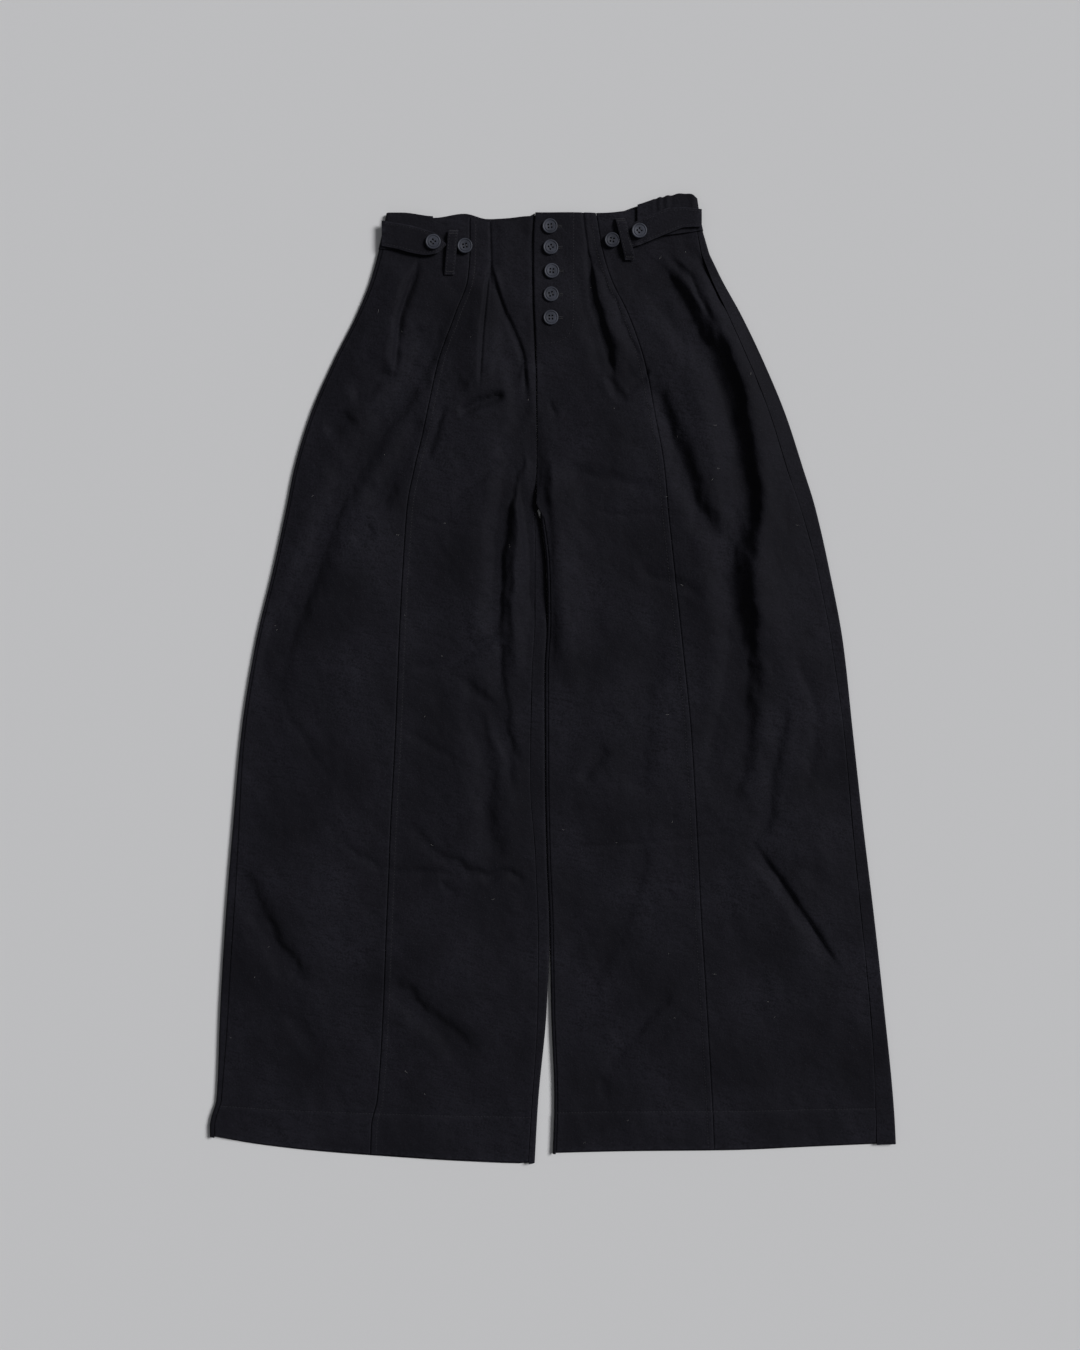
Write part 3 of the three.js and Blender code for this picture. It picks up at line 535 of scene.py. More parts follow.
# %% Rows down a leg
LEVEL = dict(top=530, straight_top=440, straight_foot=-440, stitch=-482, front_foot=-532, foot=-535)
HEM_STEP = 0.5
HEM_RISE = 4


def down_the_leg(top, foot):
    """Gives a row's height at x: straight across the legs, bent to follow the waist and the hem."""

    def height(level, x):
        up = (level - LEVEL["straight_top"]) / (LEVEL["top"] - LEVEL["straight_top"])
        down = (level - LEVEL["straight_foot"]) / (LEVEL["foot"] - LEVEL["straight_foot"])
        high = mix(LEVEL["straight_top"], top(x), up)
        low = mix(LEVEL["straight_foot"], foot(x), down)
        return np.where(up > 0, high, np.where(down > 0, low, level))

    return height


def hem_lift(level):
    return HEM_STEP * smooth(LEVEL["stitch"], LEVEL["stitch"] - HEM_RISE, level)


def settle_rows(levels, columns, height, across):
    """Finds x and y of every point, where x depends on the row's height and the height on x."""
    level = np.array(levels, float)[:, None] + np.zeros(columns)
    y = height(level, 0 * level)
    for _ in range(6):
        x = across(y)
        y = height(level, x)
    return level, across(y), y


# %% [markdown]
# The four front panels. Each seam is more than a line: the cloth dips into it, and on one side the
# seam's hidden edges make a low welt, which a row of topstitching holds down. The grid is denser
# there, so that the welt has real height. Slow, low ripples keep the rest from looking pressed.

# %% Relief of seams, hems and ripples
WELT = dict(high=0.34, wide=6.4, soft=1.4)
NEAR_SEAM = (0, 0.5, 1.0, 1.7, 2.6, 3.8, 5.0, 5.8, 6.4, 6.9, 7.5, 8.5, 10.0, 12.0)
MIDDLE_COLUMNS = 76
ROW_STEP = 3.0
RIPPLE_FADE = 12


def welt(distance, stitched):
    """Height near a seam, by the distance from it. Only a stitched side has the welt."""
    groove = -0.7 * bell(distance, 0.7)
    if not stitched:
        return groove
    rise = WELT["high"] * smooth(0, WELT["soft"], distance)
    fall = smooth(WELT["wide"] + WELT["soft"], WELT["wide"], distance)
    return groove + rise * fall - 0.2 * bell(distance - WELT["wide"], 0.7)


def ripples(x, y):
    """Slow, low unevenness of cloth that was worn and laid down by hand."""
    broad = noise_at(x, y, 52, 80, 3.1)
    small = noise_at(x + 0.5 * y, y - 0.5 * x, 17, 30, 8.7)
    fine = noise_at(x + 0.8 * y, y - 0.8 * x, 7, 14, 1.9)
    return 1.5 * broad + 0.6 * small + 0.25 * fine


def column_plan():
    """Share of the panel's width and extra millimetres of every column, dense at both seams."""
    edge = NEAR_SEAM[-1]
    middle = np.linspace(0, 1, MIDDLE_COLUMNS + 1)[1:-1]
    share = np.concatenate((np.zeros(len(NEAR_SEAM)), middle, np.ones(len(NEAR_SEAM))))
    extra = np.concatenate((NEAR_SEAM, edge - 2 * edge * middle, -np.array(NEAR_SEAM[::-1])))
    return share, extra


def front_levels():
    top = np.arange(LEVEL["top"], LEVEL["straight_top"], -ROW_STEP)
    straight = np.arange(LEVEL["straight_top"], LEVEL["straight_foot"], -ROW_STEP)
    stitch = LEVEL["stitch"]
    to_hem = np.arange(LEVEL["straight_foot"], stitch + 3, -5)
    at_stitch = stitch + np.array([2.4, 1.2, 0.4, -0.4, -1.2, -2.4, -4])
    foot = LEVEL["front_foot"]
    below = np.linspace(stitch - 9, foot + 1.6, 9)
    return np.concatenate((top, straight, to_hem, at_stitch, below, [foot + 0.6, foot]))


# %% The front panels
def crotch_turn(y):
    """0 along the fly above the crotch, and 1 along the inseam below it."""
    return smooth(CROTCH + 4, CROTCH - 16, y)


def centre_or_inseam_r(y):
    return mix(centre_front(y), inner_r(y) - inseam_in_r(y), crotch_turn(y))


def centre_or_inseam_l(y):
    return mix(centre_front(y), inner_l(y) + inseam_in_l(y), crotch_turn(y))


def front_panel(node, left, right, hem, welt_left, welt_right, centre_side=None):
    """One front panel between two seams. At the fly the left one is lifted and the right one dips."""
    share, extra = column_plan()

    def across(y):
        a = left(y) + SEAM_GAP / 2
        b = right(y) - SEAM_GAP / 2
        return mix(a, b, share) + extra

    levels = front_levels()
    level, x, y = settle_rows(levels, len(share), down_the_leg(waist_front, hem), across)
    from_left = x - left(y)
    from_right = right(y) - x
    z = front_height(x, y, CREASES) + hem_lift(level)
    z += welt(from_left, welt_left) + welt(from_right, welt_right)
    z += ripples(x, y) * (1 - bell(edge_distance(x, y), RIPPLE_FADE)) + fold_heights(CRISP_LINES, x, y)
    # The hem's stitches sink in a little, and the cloth is rounded at the hem and at the waist
    z -= 0.3 * bell(level - LEVEL["stitch"], 1.0)
    z -= 0.6 * smooth(LEVEL["front_foot"] + 2, LEVEL["front_foot"], level)
    z -= 0.5 * smooth(LEVEL["top"] - 4, LEVEL["top"], level)
    if centre_side == "L":
        z += 0.9 * fly_share(x, y) + 0.5 * bell(from_left, 6) * smooth(360, 380, y)
    if centre_side == "R":
        z -= 1.6 * bell(from_right, 3.5) * smooth(240, 330, y)
    z = np.maximum(z, LOWEST_TOP - 0.3)
    worn = 0.15 * bell(from_left - 1.5, 2) + 0.15 * bell(from_right - 1.5, 2)
    worn = worn + 0.2 * bell(level - LEVEL["stitch"], 2)
    worn = worn + smooth(LEVEL["front_foot"] + 4, LEVEL["front_foot"], level)
    outer = np.stack((x, y, z), axis=-1)
    return thin_sheet(node, outer, np.array([0, 0, 1]), worn)


cloth_pieces = [
    front_panel("front_side_R", side_r, princess_r, hem_r, False, False),
    front_panel("front_centre_R", princess_r, centre_or_inseam_r, hem_r, True, False, "R"),
    front_panel("front_centre_L", centre_or_inseam_l, princess_l, hem_l, False, True, "L"),
    front_panel("front_side_L", princess_l, side_l, hem_l, False, False),
]

# %% [markdown]
# The two back panels lie flat on the floor, roll over at the edges of each leg and come back on top
# as far as the side seam and the inseam. A row of such a panel is therefore a path: in over the top,
# round the roll, along the floor, round the other roll. Above the crotch the inner roll opens out
# flat, because there the two backs meet at the seat seam.

# %% The back panels
ROLL = EDGE_HEIGHT / 2
ROLL_LENGTH = math.pi * ROLL
UNROLLED = 0.003
ROLL_STEPS = 10
FLAT_STEPS = 24
RETURN_STEPS = 6
ROLL_DROP = 14


def steps_along(part, count, to_end=False):
    """Even steps along one part of a path. The next part brings the last point."""
    return [(part, t) for t in np.linspace(0, 1, count, endpoint=to_end)]


def back_panel(node, facing, outer_edge, side_in, inner_edge, inseam_in, hem):
    """A back panel, worked out as for the left leg and then turned to face its own side."""
    parts = steps_along("return", RETURN_STEPS) + steps_along("outer", ROLL_STEPS)
    parts += steps_along("flat", FLAT_STEPS) + steps_along("inner", ROLL_STEPS)
    parts += steps_along("inseam", RETURN_STEPS, to_end=True)

    def path(y):
        """x, z and the way out at every point of the rows, for y of shape rows by columns."""
        outside = facing * outer_edge(y) - ROLL
        side = facing * outer_edge(y) - side_in(y) + SEAM_GAP / 2
        rolled = smooth(CROTCH + 2, CROTCH - ROLL_DROP, y)
        seam = facing * mix(centre_front(y), inner_edge(y), smooth(CROTCH + 6, CROTCH - 6, y))
        reach = inseam_in(y) - ROLL - SEAM_GAP / 2
        inside = seam + mix(SEAM_GAP + ROLL_LENGTH + reach, ROLL, rolled)
        turn_in = math.pi * mix(UNROLLED, 1, rolled)
        radius_in = ROLL_LENGTH / turn_in
        side_top = front_height(facing * side, y)
        x, z, out_x, out_z = (np.zeros(y.shape) for _ in range(4))
        for j, (part, t) in enumerate(parts):
            a, b = outside[:, j], inside[:, j]
            if part == "return":
                x[:, j] = mix(side[:, j], a, t)
                z[:, j] = mix(side_top[:, j], EDGE_HEIGHT, t)
                out_z[:, j] = 1
            elif part == "outer":
                turn = math.pi * (1 - t)
                x[:, j] = a + ROLL * math.sin(turn)
                z[:, j] = ROLL - ROLL * math.cos(turn)
                out_x[:, j] = math.sin(turn)
                out_z[:, j] = -math.cos(turn)
            elif part == "flat":
                x[:, j] = mix(a, b, t)
                out_z[:, j] = -1
            else:
                turn = turn_in[:, j] * (t if part == "inner" else 1)
                radius = radius_in[:, j]
                walk = reach[:, j] * t if part == "inseam" else 0
                x[:, j] = b - radius * np.sin(turn) - np.cos(turn) * walk
                z[:, j] = radius - radius * np.cos(turn) + np.sin(turn) * walk
                out_x[:, j] = -np.sin(turn)
                out_z[:, j] = -np.cos(turn)
        return facing * x, z, facing * out_x, out_z

    levels = np.concatenate((
        np.arange(LEVEL["top"], LEVEL["straight_top"], -45),
        np.arange(LEVEL["straight_top"], LEVEL["straight_foot"], -5.5),
        [LEVEL["straight_foot"], -460, -475, LEVEL["stitch"], LEVEL["stitch"] - HEM_RISE],
        [-500, -515, -528, -533, LEVEL["foot"]],
    ))
    height = down_the_leg(lambda x: band_seam(x) - SEAM_GAP, hem)
    level, x, y = settle_rows(levels, len(parts), height, lambda y: path(y)[0])
    x, z, out_x, out_z = path(y)
    near = smooth(PIT["edge_out"], PIT["edge_full"], facing * (x - inner_edge(y)))
    change = PIT["rise"] if facing > 0 else -PIT["deep"]
    z = z * (1 + near * pit_share(y) * change / EDGE_HEIGHT)
    on_top = smooth(EDGE_HEIGHT * 0.5, EDGE_HEIGHT * 0.9, z)
    z = z + on_top * hem_lift(level)
    outer = np.stack((x, y, z), axis=-1)
    outwards = np.stack((out_x, 0 * y, out_z), axis=-1)
    return thin_sheet(node, outer, outwards, 0.2 * bell(z - EDGE_HEIGHT * 0.6, 1.2))


def stage_floor():
    """The plain floor, a little larger than the camera sees."""
    half = 3.0
    mesh = bpy.data.meshes.new("floor")
    corners = [(-half, -half, 0), (half, -half, 0), (half, half, 0), (-half, half, 0)]
    mesh.from_pydata(corners, [], [(0, 1, 2, 3)])
    ground = new_object("floor", mesh)
    return ground


floor = stage_floor()
cloth_pieces += [
    back_panel("back_R", -1, outer_r, side_in_r, inner_r, inseam_in_r, hem_r),
    back_panel("back_L", 1, outer_l, side_in_l, inner_l, inseam_in_l, hem_l),
]

# %% [markdown]
# The back waistband is one strip, gathered at its corners. It wraps round both sides and its two ends
# lie on the front, over the side panels. Its path is like that of a back panel: along the front,
# round the side, along the floor, round the other side and back on the front. The gathers are short
# waves that fade downwards, uneven in width and depth as hand-pushed cloth is.

# %% The back waistband
BAND = dict(height=7.2, end_r=-131, end_l=93, gather=0.55, gather_from=105, every=10.5)
BAND_ROLL = BAND["height"] / 2


def uneven(x):
    """x with a slow drift, so that no two gathers are as wide."""
    return x + 3.4 * np.sin(x / 9.0)


def gathers(x, down):
    """Height that the gathers add to the band's left front end."""
    within = smooth(BAND["gather_from"], BAND["gather_from"] + 8, x)
    wave = 1 + np.sin(2 * math.pi * (uneven(x) + 2.5 * down * np.sin(x / 5.0)) / BAND["every"])
    depth = 0.6 + 0.4 * np.sin(x / 6.3 + 1.0)
    return BAND["gather"] * depth * wave * within * (1 - down)


def waistband():
    """The band, worked out from its right front end round the back to its left front end."""
    steps = steps_along("front_r", 24) + steps_along("roll_r", ROLL_STEPS)
    steps += steps_along("floor_r", 30) + steps_along("floor_l", 30)
    steps += steps_along("roll_l", ROLL_STEPS) + steps_along("front_l", 64, to_end=True)

    def path(y, down):
        left = outer_r(y) - 0.5 + BAND_ROLL
        right = outer_l(y) + 0.5 - BAND_ROLL
        x, z, out_x, out_z = (np.zeros(y.shape) for _ in range(4))
        for j, (part, t) in enumerate(steps):
            a, b = left[:, j], right[:, j]
            turn = math.pi * t
            if part == "front_r":
                x[:, j] = mix(BAND["end_r"], a, t)
                z[:, j] = BAND["height"]
                out_z[:, j] = 1
            elif part in ("roll_r", "roll_l"):
                side, edge = (-1, a) if part == "roll_r" else (1, b)
                x[:, j] = edge + side * BAND_ROLL * math.sin(turn)
                z[:, j] = BAND_ROLL - side * BAND_ROLL * math.cos(turn)
                out_x[:, j], out_z[:, j] = side * math.sin(turn), -side * math.cos(turn)
            elif part == "floor_r":
                x[:, j] = mix(a, BAND_SEAM["x"], t)
                out_z[:, j] = -1
            elif part == "floor_l":
                x[:, j] = mix(BAND_SEAM["x"], b, t)
                out_z[:, j] = -1
            else:
                x[:, j] = mix(b, BAND["end_l"], t)
                z[:, j] = BAND["height"] + gathers(x[:, j], down[:, j])
                out_z[:, j] = 1
        return x, z, out_x, out_z

    def height(down, x):
        wave = np.sin(2 * math.pi * uneven(x) / BAND["every"])
        frill = 0.45 * (wave * smooth(BAND["gather_from"], 120, x))
        return mix(waist_back(x) + frill, band_seam(x), down)

    rows = np.concatenate(([0, 0.012, 0.03], np.linspace(0.06, 0.94, 26), [0.97, 0.985, 1]))
    down, x, y = settle_rows(rows, len(steps), height, lambda y: path(y, rows[:, None] + 0 * y)[0])
    x, z, out_x, out_z = path(y, down)
    edge = bell(down, 0.02) + bell(1 - down, 0.02)
    z = z - np.where(out_z > 0.5, 0.4 * edge, 0)
    topstitch = bell((down - 0.06) * 40, 0.8)
    z = z - np.where(out_z > 0.5, 0.25 * topstitch, 0)
    outer = np.stack((x, y, z), axis=-1)
    outwards = np.stack((out_x, 0 * y, out_z), axis=-1)
    return thin_sheet("waistband_back", outer, outwards, 0.7 * edge)


cloth_pieces.append(waistband())

# %% [markdown]
# The smaller cloth pieces lie on top of each other: the underlap under the fly, the two pointed and
# square side tabs over the band's ends, and the belt loops, which are sewn down at both ends and
# stand off the cloth between. Each is a double layer with its edges turned in, so its edges are soft.

# %% The underlap, the tabs and the belt loops
UNDERLAP = dict(left=-34, right=18, top=505, foot=366, lift=1.8)
LAYER_GAP = 0.3
TAB_THICK = 2.1
TAB_RISE = 2.3
TAB_ON_BAND = BAND["height"] + LAYER_GAP + TAB_RISE
TAB_ON_PANEL = EDGE_HEIGHT + LAYER_GAP + TAB_RISE
TAB_R = table(
    "x low high", (-187, 474, 501.5), (-172, 471, 499), (-155, 466.5, 496), (-139, 464, 491.5),
    (-128, 465.5, 487.5), (-116.4, 475.5, 476.5),
)
TAB_L = table(
    "x low high", (81, 470.5, 495), (97, 475.5, 503), (112, 481.5, 509), (128, 488, 515),
    (146, 494, 515.5), (163, 494.5, 513.5),
)
LOOPS = table(
    "node top_x top_y foot_x foot_y arch on",
    ("belt_loop_R", -108.6, 492, -113, 443, 1.6, "front_side_R"),
    ("belt_loop_L", 74, 505, 85, 459, 3.0, "front_side_L"),
)
LOOP_WIDTH = 11
LOOP_RISE = 2.2


def strip(node, columns, point, thick):
    """A small flat piece. The point function gives x, y, z for shares across and down."""
    across, down = np.meshgrid(columns, EDGE_ROWS)
    outer = np.stack(point(across, down), axis=-1)
    rim = np.minimum(np.minimum(across, 1 - across), np.minimum(down, 1 - down))
    outer[..., 2] -= 0.35 * bell(rim, 0.03)
    inner = np.array(outer)
    inner[..., 2] = point(across, down)[2] - thick + 0.25 * bell(rim, 0.03)
    piece = closed_sheet(node + "_cloth", outer, inner, bell(rim, 0.05))
    declare(piece, node)
    return piece


EDGE_ROWS = np.concatenate(([0, 0.015, 0.035], np.linspace(0.07, 0.93, 26), [0.965, 0.985, 1]))


def underlap_point(across, down):
    x = mix(UNDERLAP["left"], UNDERLAP["right"], across)
    y = mix(UNDERLAP["top"], UNDERLAP["foot"], down)
    return x, y, UNDERLAP["lift"] + 1.5 + 0 * x


def tab_point(rows, height):
    low, high = lines_through(rows, "x")

    def point(across, down):
        x = mix(rows[0]["x"], rows[-1]["x"], across)
        y = mix(high(x), low(x), down)
        stitched = bell((np.minimum(down, 1 - down) - 0.1) * 26, 0.6)
        return x, y, height(x) - 0.2 * stitched

    return point


def tab_height_r(x):
    return mix(TAB_ON_BAND, TAB_ON_PANEL, smooth(-129, -119, x)) + 0.25 * np.sin(x / 7)


def tab_height_l(x):
    on_gathers = TAB_ON_BAND + 2 * BAND["gather"] * smooth(96, 104, x)
    return mix(on_gathers, TAB_ON_PANEL, smooth(91.5, 84, x)) + 0.2 * np.sin(x / 6)


def on_loop(loop, down):
    """The point of a loop's middle line at a share of its length."""
    return mix(loop["top_x"], loop["foot_x"], down), mix(loop["top_y"], loop["foot_y"], down)


def loop_point(loop):
    def point(across, down):
        middle, y = on_loop(loop, down)
        x = middle + LOOP_WIDTH * (across - 0.5)
        rise = loop["arch"] * smooth(0, 0.14, down) * smooth(1, 0.8, down)
        stitched = bell((np.minimum(across, 1 - across) - 0.16) * 12, 0.5)
        return x, y, EDGE_HEIGHT + LOOP_RISE + rise - 0.15 * stitched

    return point


small_columns = np.concatenate(([0, 0.02, 0.05], np.linspace(0.09, 0.91, 36), [0.95, 0.98, 1]))
loop_columns = np.linspace(0, 1, 15)
cloth_pieces += [
    strip("fly_underlap", small_columns, underlap_point, SHELL),
    strip("tab_R", small_columns, tab_point(TAB_R, tab_height_r), TAB_THICK),
    strip("tab_L", small_columns, tab_point(TAB_L, tab_height_l), TAB_THICK),
]
for loop in LOOPS:
    cloth_pieces.append(strip(loop["node"], loop_columns, loop_point(loop), SHELL))

# %% [markdown]
# The buttons are turned plastic discs with a raised rim, a ring groove inside it, a nearly flat face
# and four holes. A turned shape is a profile spun round an axis, and a Boolean cuts the holes. A bevel
# would be too small to see, so the profile itself is rounded. Two bars of thread hold each button.

# %% The buttons
BUTTON = dict(radius=8.2, rim_inner=6.6, rim_top=3.2, face_top=2.95, edge=1.0, groove=0.45, hole=1.05,
              hole_at=1.7, lift=0.5, sunk=0.4)
BUTTONS = table(
    "node x y on turn",
    ("fly_button_1", -2.9, 496, EDGE_HEIGHT, 8),
    ("fly_button_2", -2.1, 473, EDGE_HEIGHT, 35),
    ("fly_button_3", -0.9, 447, EDGE_HEIGHT, -4),
    ("fly_button_4", -1.7, 421.5, EDGE_HEIGHT, 20),
    ("fly_button_5", -1.9, 396, EDGE_HEIGHT, 2),
    ("tab_button_R", -130.5, 477.5, TAB_ON_BAND, 50),
    ("side_button_R", -96, 474.5, EDGE_HEIGHT, 12),
    ("side_button_L", 65.2, 480.8, EDGE_HEIGHT, -10),
    ("tab_button_L", 94.6, 489.4, TAB_ON_BAND + 1, 40),
)


def button_profile():
    """Radius and height from the underside's centre round the edge, rim and groove to the face."""
    radius, edge, rim_inner, face = (BUTTON[key] for key in ("radius", "edge", "rim_inner", "face_top"))
    turns = [(math.cos(t * math.pi / 2), math.sin(t * math.pi / 2)) for t in np.linspace(0, 1, 7)]
    under = [(0, 0), (radius - edge, 0)]
    low = [(radius - edge * (1 - sine), edge * (1 - cosine)) for cosine, sine in turns[1:]]
    rim_middle = (radius + rim_inner) / 2
    half = radius - rim_middle
    rim = [(rim_middle + half * cosine, BUTTON["rim_top"] - half + half * sine) for cosine, sine in turns]
    bottom = face - BUTTON["groove"]
    ring = [(rim_inner, face), (rim_inner - 0.35, bottom), (rim_inner - 0.75, bottom),
            (rim_inner - 1.1, face - 0.05)]
    middle = [(4.2, face - 0.1), (3.4, face - 0.3), (0, face - BUTTON["sunk"])]
    return under + low + rim + ring + middle


print("the button's profile has", len(button_profile()), "points")


# %% The button's disc and its holes
def loft(work, rings):
    """Joins each ring of points to the next with faces. A ring may be a single point."""
    for low, high in zip(rings[:-1], rings[1:]):
        for i in range(max(len(low), len(high))):
            corners = [low[i % len(low)], low[(i + 1) % len(low)],
                       high[(i + 1) % len(high)], high[i % len(high)]]
            work.faces.new(list(dict.fromkeys(corners)))


def object_of(name, work):
    """An object from a mesh that was put together by hand."""
    mesh = bpy.data.meshes.new(name)
    work.to_mesh(mesh)
    work.free()
    return new_object(name, mesh)


def button_master(around=48):
    """The profile spun round the button's axis."""
    work = bmesh.new()
    rings = []
    for radius, height in button_profile():
        angles = [2 * math.pi * i / around for i in range(1 if radius == 0 else around)]
        rings.append([work.verts.new((radius * MM * math.cos(a), radius * MM * math.sin(a), height * MM))
                      for a in angles])
    loft(work, rings)
    bmesh.ops.recalc_face_normals(work, faces=work.faces)
    return object_of("button_disc", work)


def hole_cutter():
    """Four upright pins where the holes come. They are longer than the button is thick."""
    work = bmesh.new()
    radius, aside = BUTTON["hole"] * MM, BUTTON["hole_at"]
    for side_x in (-1, 1):
        for side_y in (-1, 1):
            pin = bmesh.ops.create_cone(
                work, cap_ends=True, segments=16, radius1=radius, radius2=radius, depth=12 * MM
            )
            place = Vector((side_x * aside * MM, side_y * aside * MM, 0))
            bmesh.ops.translate(work, verts=pin["verts"], vec=place)
    return object_of("button_holes", work)


def evaluated_mesh(obj, name):
    """The plain mesh of an object with its modifiers worked out."""
    graph = bpy.context.evaluated_depsgraph_get()
    mesh = bpy.data.meshes.new_from_object(obj.evaluated_get(graph))
    mesh.name = name
    return mesh


disc = button_master()
cutter = hole_cutter()
cut = disc.modifiers.new("holes", "BOOLEAN")
cut.operation = "DIFFERENCE"
cut.object = cutter
cut.solver = "EXACT"
button_mesh = evaluated_mesh(disc, "button")
bpy.data.objects.remove(disc)
bpy.data.objects.remove(cutter)
button_mesh.shade_smooth()
button_mesh.set_sharp_from_angle(angle=math.radians(40))
print("a button has", len(button_mesh.polygons), "faces")

# %% The thread, and every button in its place
STRAND = dict(apart=0.22, thick=0.27, bow=0.12, dive=1.6, around=8)


def thread_bars(name, spot, turn, top):
    """Two bars of thread side by side over the holes, each a bundle of two rounded strands."""
    work = bmesh.new()
    reach = BUTTON["hole_at"]
    angle = math.radians(90 + turn)
    along = Vector((math.cos(angle), math.sin(angle), 0))
    aside = Vector((-along.y, along.x, 0))
    for side in (-1, 1):
        for offset in (-STRAND["apart"], STRAND["apart"]):
            rings = []
            for t in np.linspace(-1, 1, 13):
                centre = along * (reach * t) + aside * (side * reach + offset)
                bow = STRAND["bow"] * (1 - t**4) - STRAND["dive"] * smooth(0.55, 1, abs(t))
                ring = []
                for k in range(STRAND["around"]):
                    a = 2 * math.pi * k / STRAND["around"]
                    point = centre + aside * (STRAND["thick"] * math.cos(a))
                    x, y = spot[0] + point.x, spot[1] + point.y
                    z = top + bow + STRAND["thick"] * math.sin(a)
                    ring.append(work.verts.new((x * MM, y * MM, z * MM)))
                rings.append(ring)
            loft(work, rings)
            work.faces.new(rings[0][::-1])
            work.faces.new(rings[-1])
    bmesh.ops.recalc_face_normals(work, faces=work.faces)
    thread = object_of(name, work)
    thread.data.shade_smooth()
    return thread


button_pieces = []
thread_pieces = []
for row in BUTTONS:
    mesh = button_mesh.copy()
    turn = math.radians(row["turn"])
    turned = np.empty(len(mesh.vertices) * 3)
    mesh.vertices.foreach_get("co", turned)
    turned = turned.reshape(-1, 3)
    cosine, sine = math.cos(turn), math.sin(turn)
    spin = np.array([[cosine, -sine, 0], [sine, cosine, 0], [0, 0, 1]])
    placed = turned @ spin.T + np.array([row["x"], row["y"], row["on"] + BUTTON["lift"]]) * MM
    mesh.vertices.foreach_set("co", placed.ravel())
    mesh.update()
    button = new_object(row["node"] + "_turned", mesh)
    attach(button, "root")
    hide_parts(row["node"])
    button_pieces.append(button)
    top = row["on"] + BUTTON["lift"] + BUTTON["face_top"] - BUTTON["sunk"]
    thread = thread_bars(row["node"] + "_thread", (row["x"], row["y"]), row["turn"], top)
    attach(thread, "root")
    thread_pieces.append(thread)
print(len(button_pieces), "buttons placed")

# %% [markdown]
# All the stitching is one job for Geometry Nodes: a line on the cloth goes in, and short rounded
# stitches come out along it. The tree measures out points along the line, puts one small ellipsoid on
# each, turned along the line and a little uneven in length, then makes them real and gives them
# their material. Modelling each stitch by hand would be thousands of the same step.

# %% A tree that sews along a line
STITCH = dict(pitch=3.3, length=1.9, width=0.42)


def stitch_tree():
    tree = bpy.data.node_groups.new("sewn_line", "GeometryNodeTree")
    face = tree.interface
    face.new_socket("Geometry", in_out="INPUT", socket_type="NodeSocketGeometry")
    for measure, value in STITCH.items():
        socket = face.new_socket(measure.title(), in_out="INPUT", socket_type="NodeSocketFloat")
        socket.default_value = value * MM
    face.new_socket("Thread", in_out="INPUT", socket_type="NodeSocketMaterial")
    face.new_socket("Geometry", in_out="OUTPUT", socket_type="NodeSocketGeometry")
    add = tree.nodes.new
    source = add("NodeGroupInput")
    result = add("NodeGroupOutput")
    to_curve = add("GeometryNodeMeshToCurve")
    to_points = add("GeometryNodeCurveToPoints")
    to_points.mode = "LENGTH"
    bead = add("GeometryNodeMeshUVSphere")
    bead.inputs["Segments"].default_value = 6
    bead.inputs["Rings"].default_value = 4
    bead.inputs["Radius"].default_value = 0.5
    place = add("GeometryNodeInstanceOnPoints")
    uneven = add("FunctionNodeRandomValue")
    uneven.data_type = "FLOAT"
    uneven.inputs[2].default_value = 0.85
    uneven.inputs[3].default_value = 1.1
    uneven.inputs["Seed"].default_value = 11
    stretch = add("ShaderNodeMath")
    stretch.operation = "MULTIPLY"
    size = add("ShaderNodeCombineXYZ")
    real = add("GeometryNodeRealizeInstances")
    finish = add("GeometryNodeSetMaterial")
    link = tree.links.new
    link(source.outputs["Geometry"], to_curve.inputs["Mesh"])
    link(to_curve.outputs["Curve"], to_points.inputs["Curve"])
    link(source.outputs["Pitch"], to_points.inputs["Length"])
    link(to_points.outputs["Points"], place.inputs["Points"])
    link(to_points.outputs["Rotation"], place.inputs["Rotation"])
    link(bead.outputs["Mesh"], place.inputs["Instance"])
    link(uneven.outputs[1], stretch.inputs[0])
    link(source.outputs["Length"], stretch.inputs[1])
    link(source.outputs["Width"], size.inputs["X"])
    link(source.outputs["Width"], size.inputs["Y"])
    link(stretch.outputs["Value"], size.inputs["Z"])
    link(size.outputs["Vector"], place.inputs["Scale"])
    link(place.outputs["Instances"], real.inputs["Geometry"])
    link(real.outputs["Geometry"], finish.inputs["Geometry"])
    link(source.outputs["Thread"], finish.inputs["Material"])
    link(finish.outputs["Geometry"], result.inputs["Geometry"])
    return tree


sewing_tree = stitch_tree()
print("the sewing tree has", len(sewing_tree.nodes), "nodes")

# %% Where the stitches run
def cloth_surface(pieces):
    """One tree of all the cloth's faces, to find the cloth's top at any spot."""
    points, faces = [], []
    for piece in pieces:
        start = len(points)
        points += [v.co.copy() for v in piece.data.vertices]
        faces += [[start + i for i in p.vertices] for p in piece.data.polygons]
    return BVHTree.FromPolygons(points, faces)


surface = cloth_surface(cloth_pieces)


def line_on_cloth(points):
    """Puts points given in millimetres onto the cloth below them, close together."""
    points = np.array(points, float)
    steps = np.hypot(*np.diff(points, axis=0).T)
    walked = np.concatenate(([0], np.cumsum(steps)))
    at = np.linspace(0, walked[-1], max(2, int(walked[-1] / 1.5) + 1))
    flat = np.stack((np.interp(at, walked, points[:, 0]), np.interp(at, walked, points[:, 1])), axis=1)
    placed = []
    for x, y in flat:
        hit = surface.ray_cast(Vector((x * MM, y * MM, 0.1)), Vector((0, 0, -1)))[0]
        if hit is not None:
            placed.append(hit)
    return placed


def level_line(top, foot, level, xs):
    height = down_the_leg(top, foot)
    return [(x, float(height(level, x))) for x in xs]


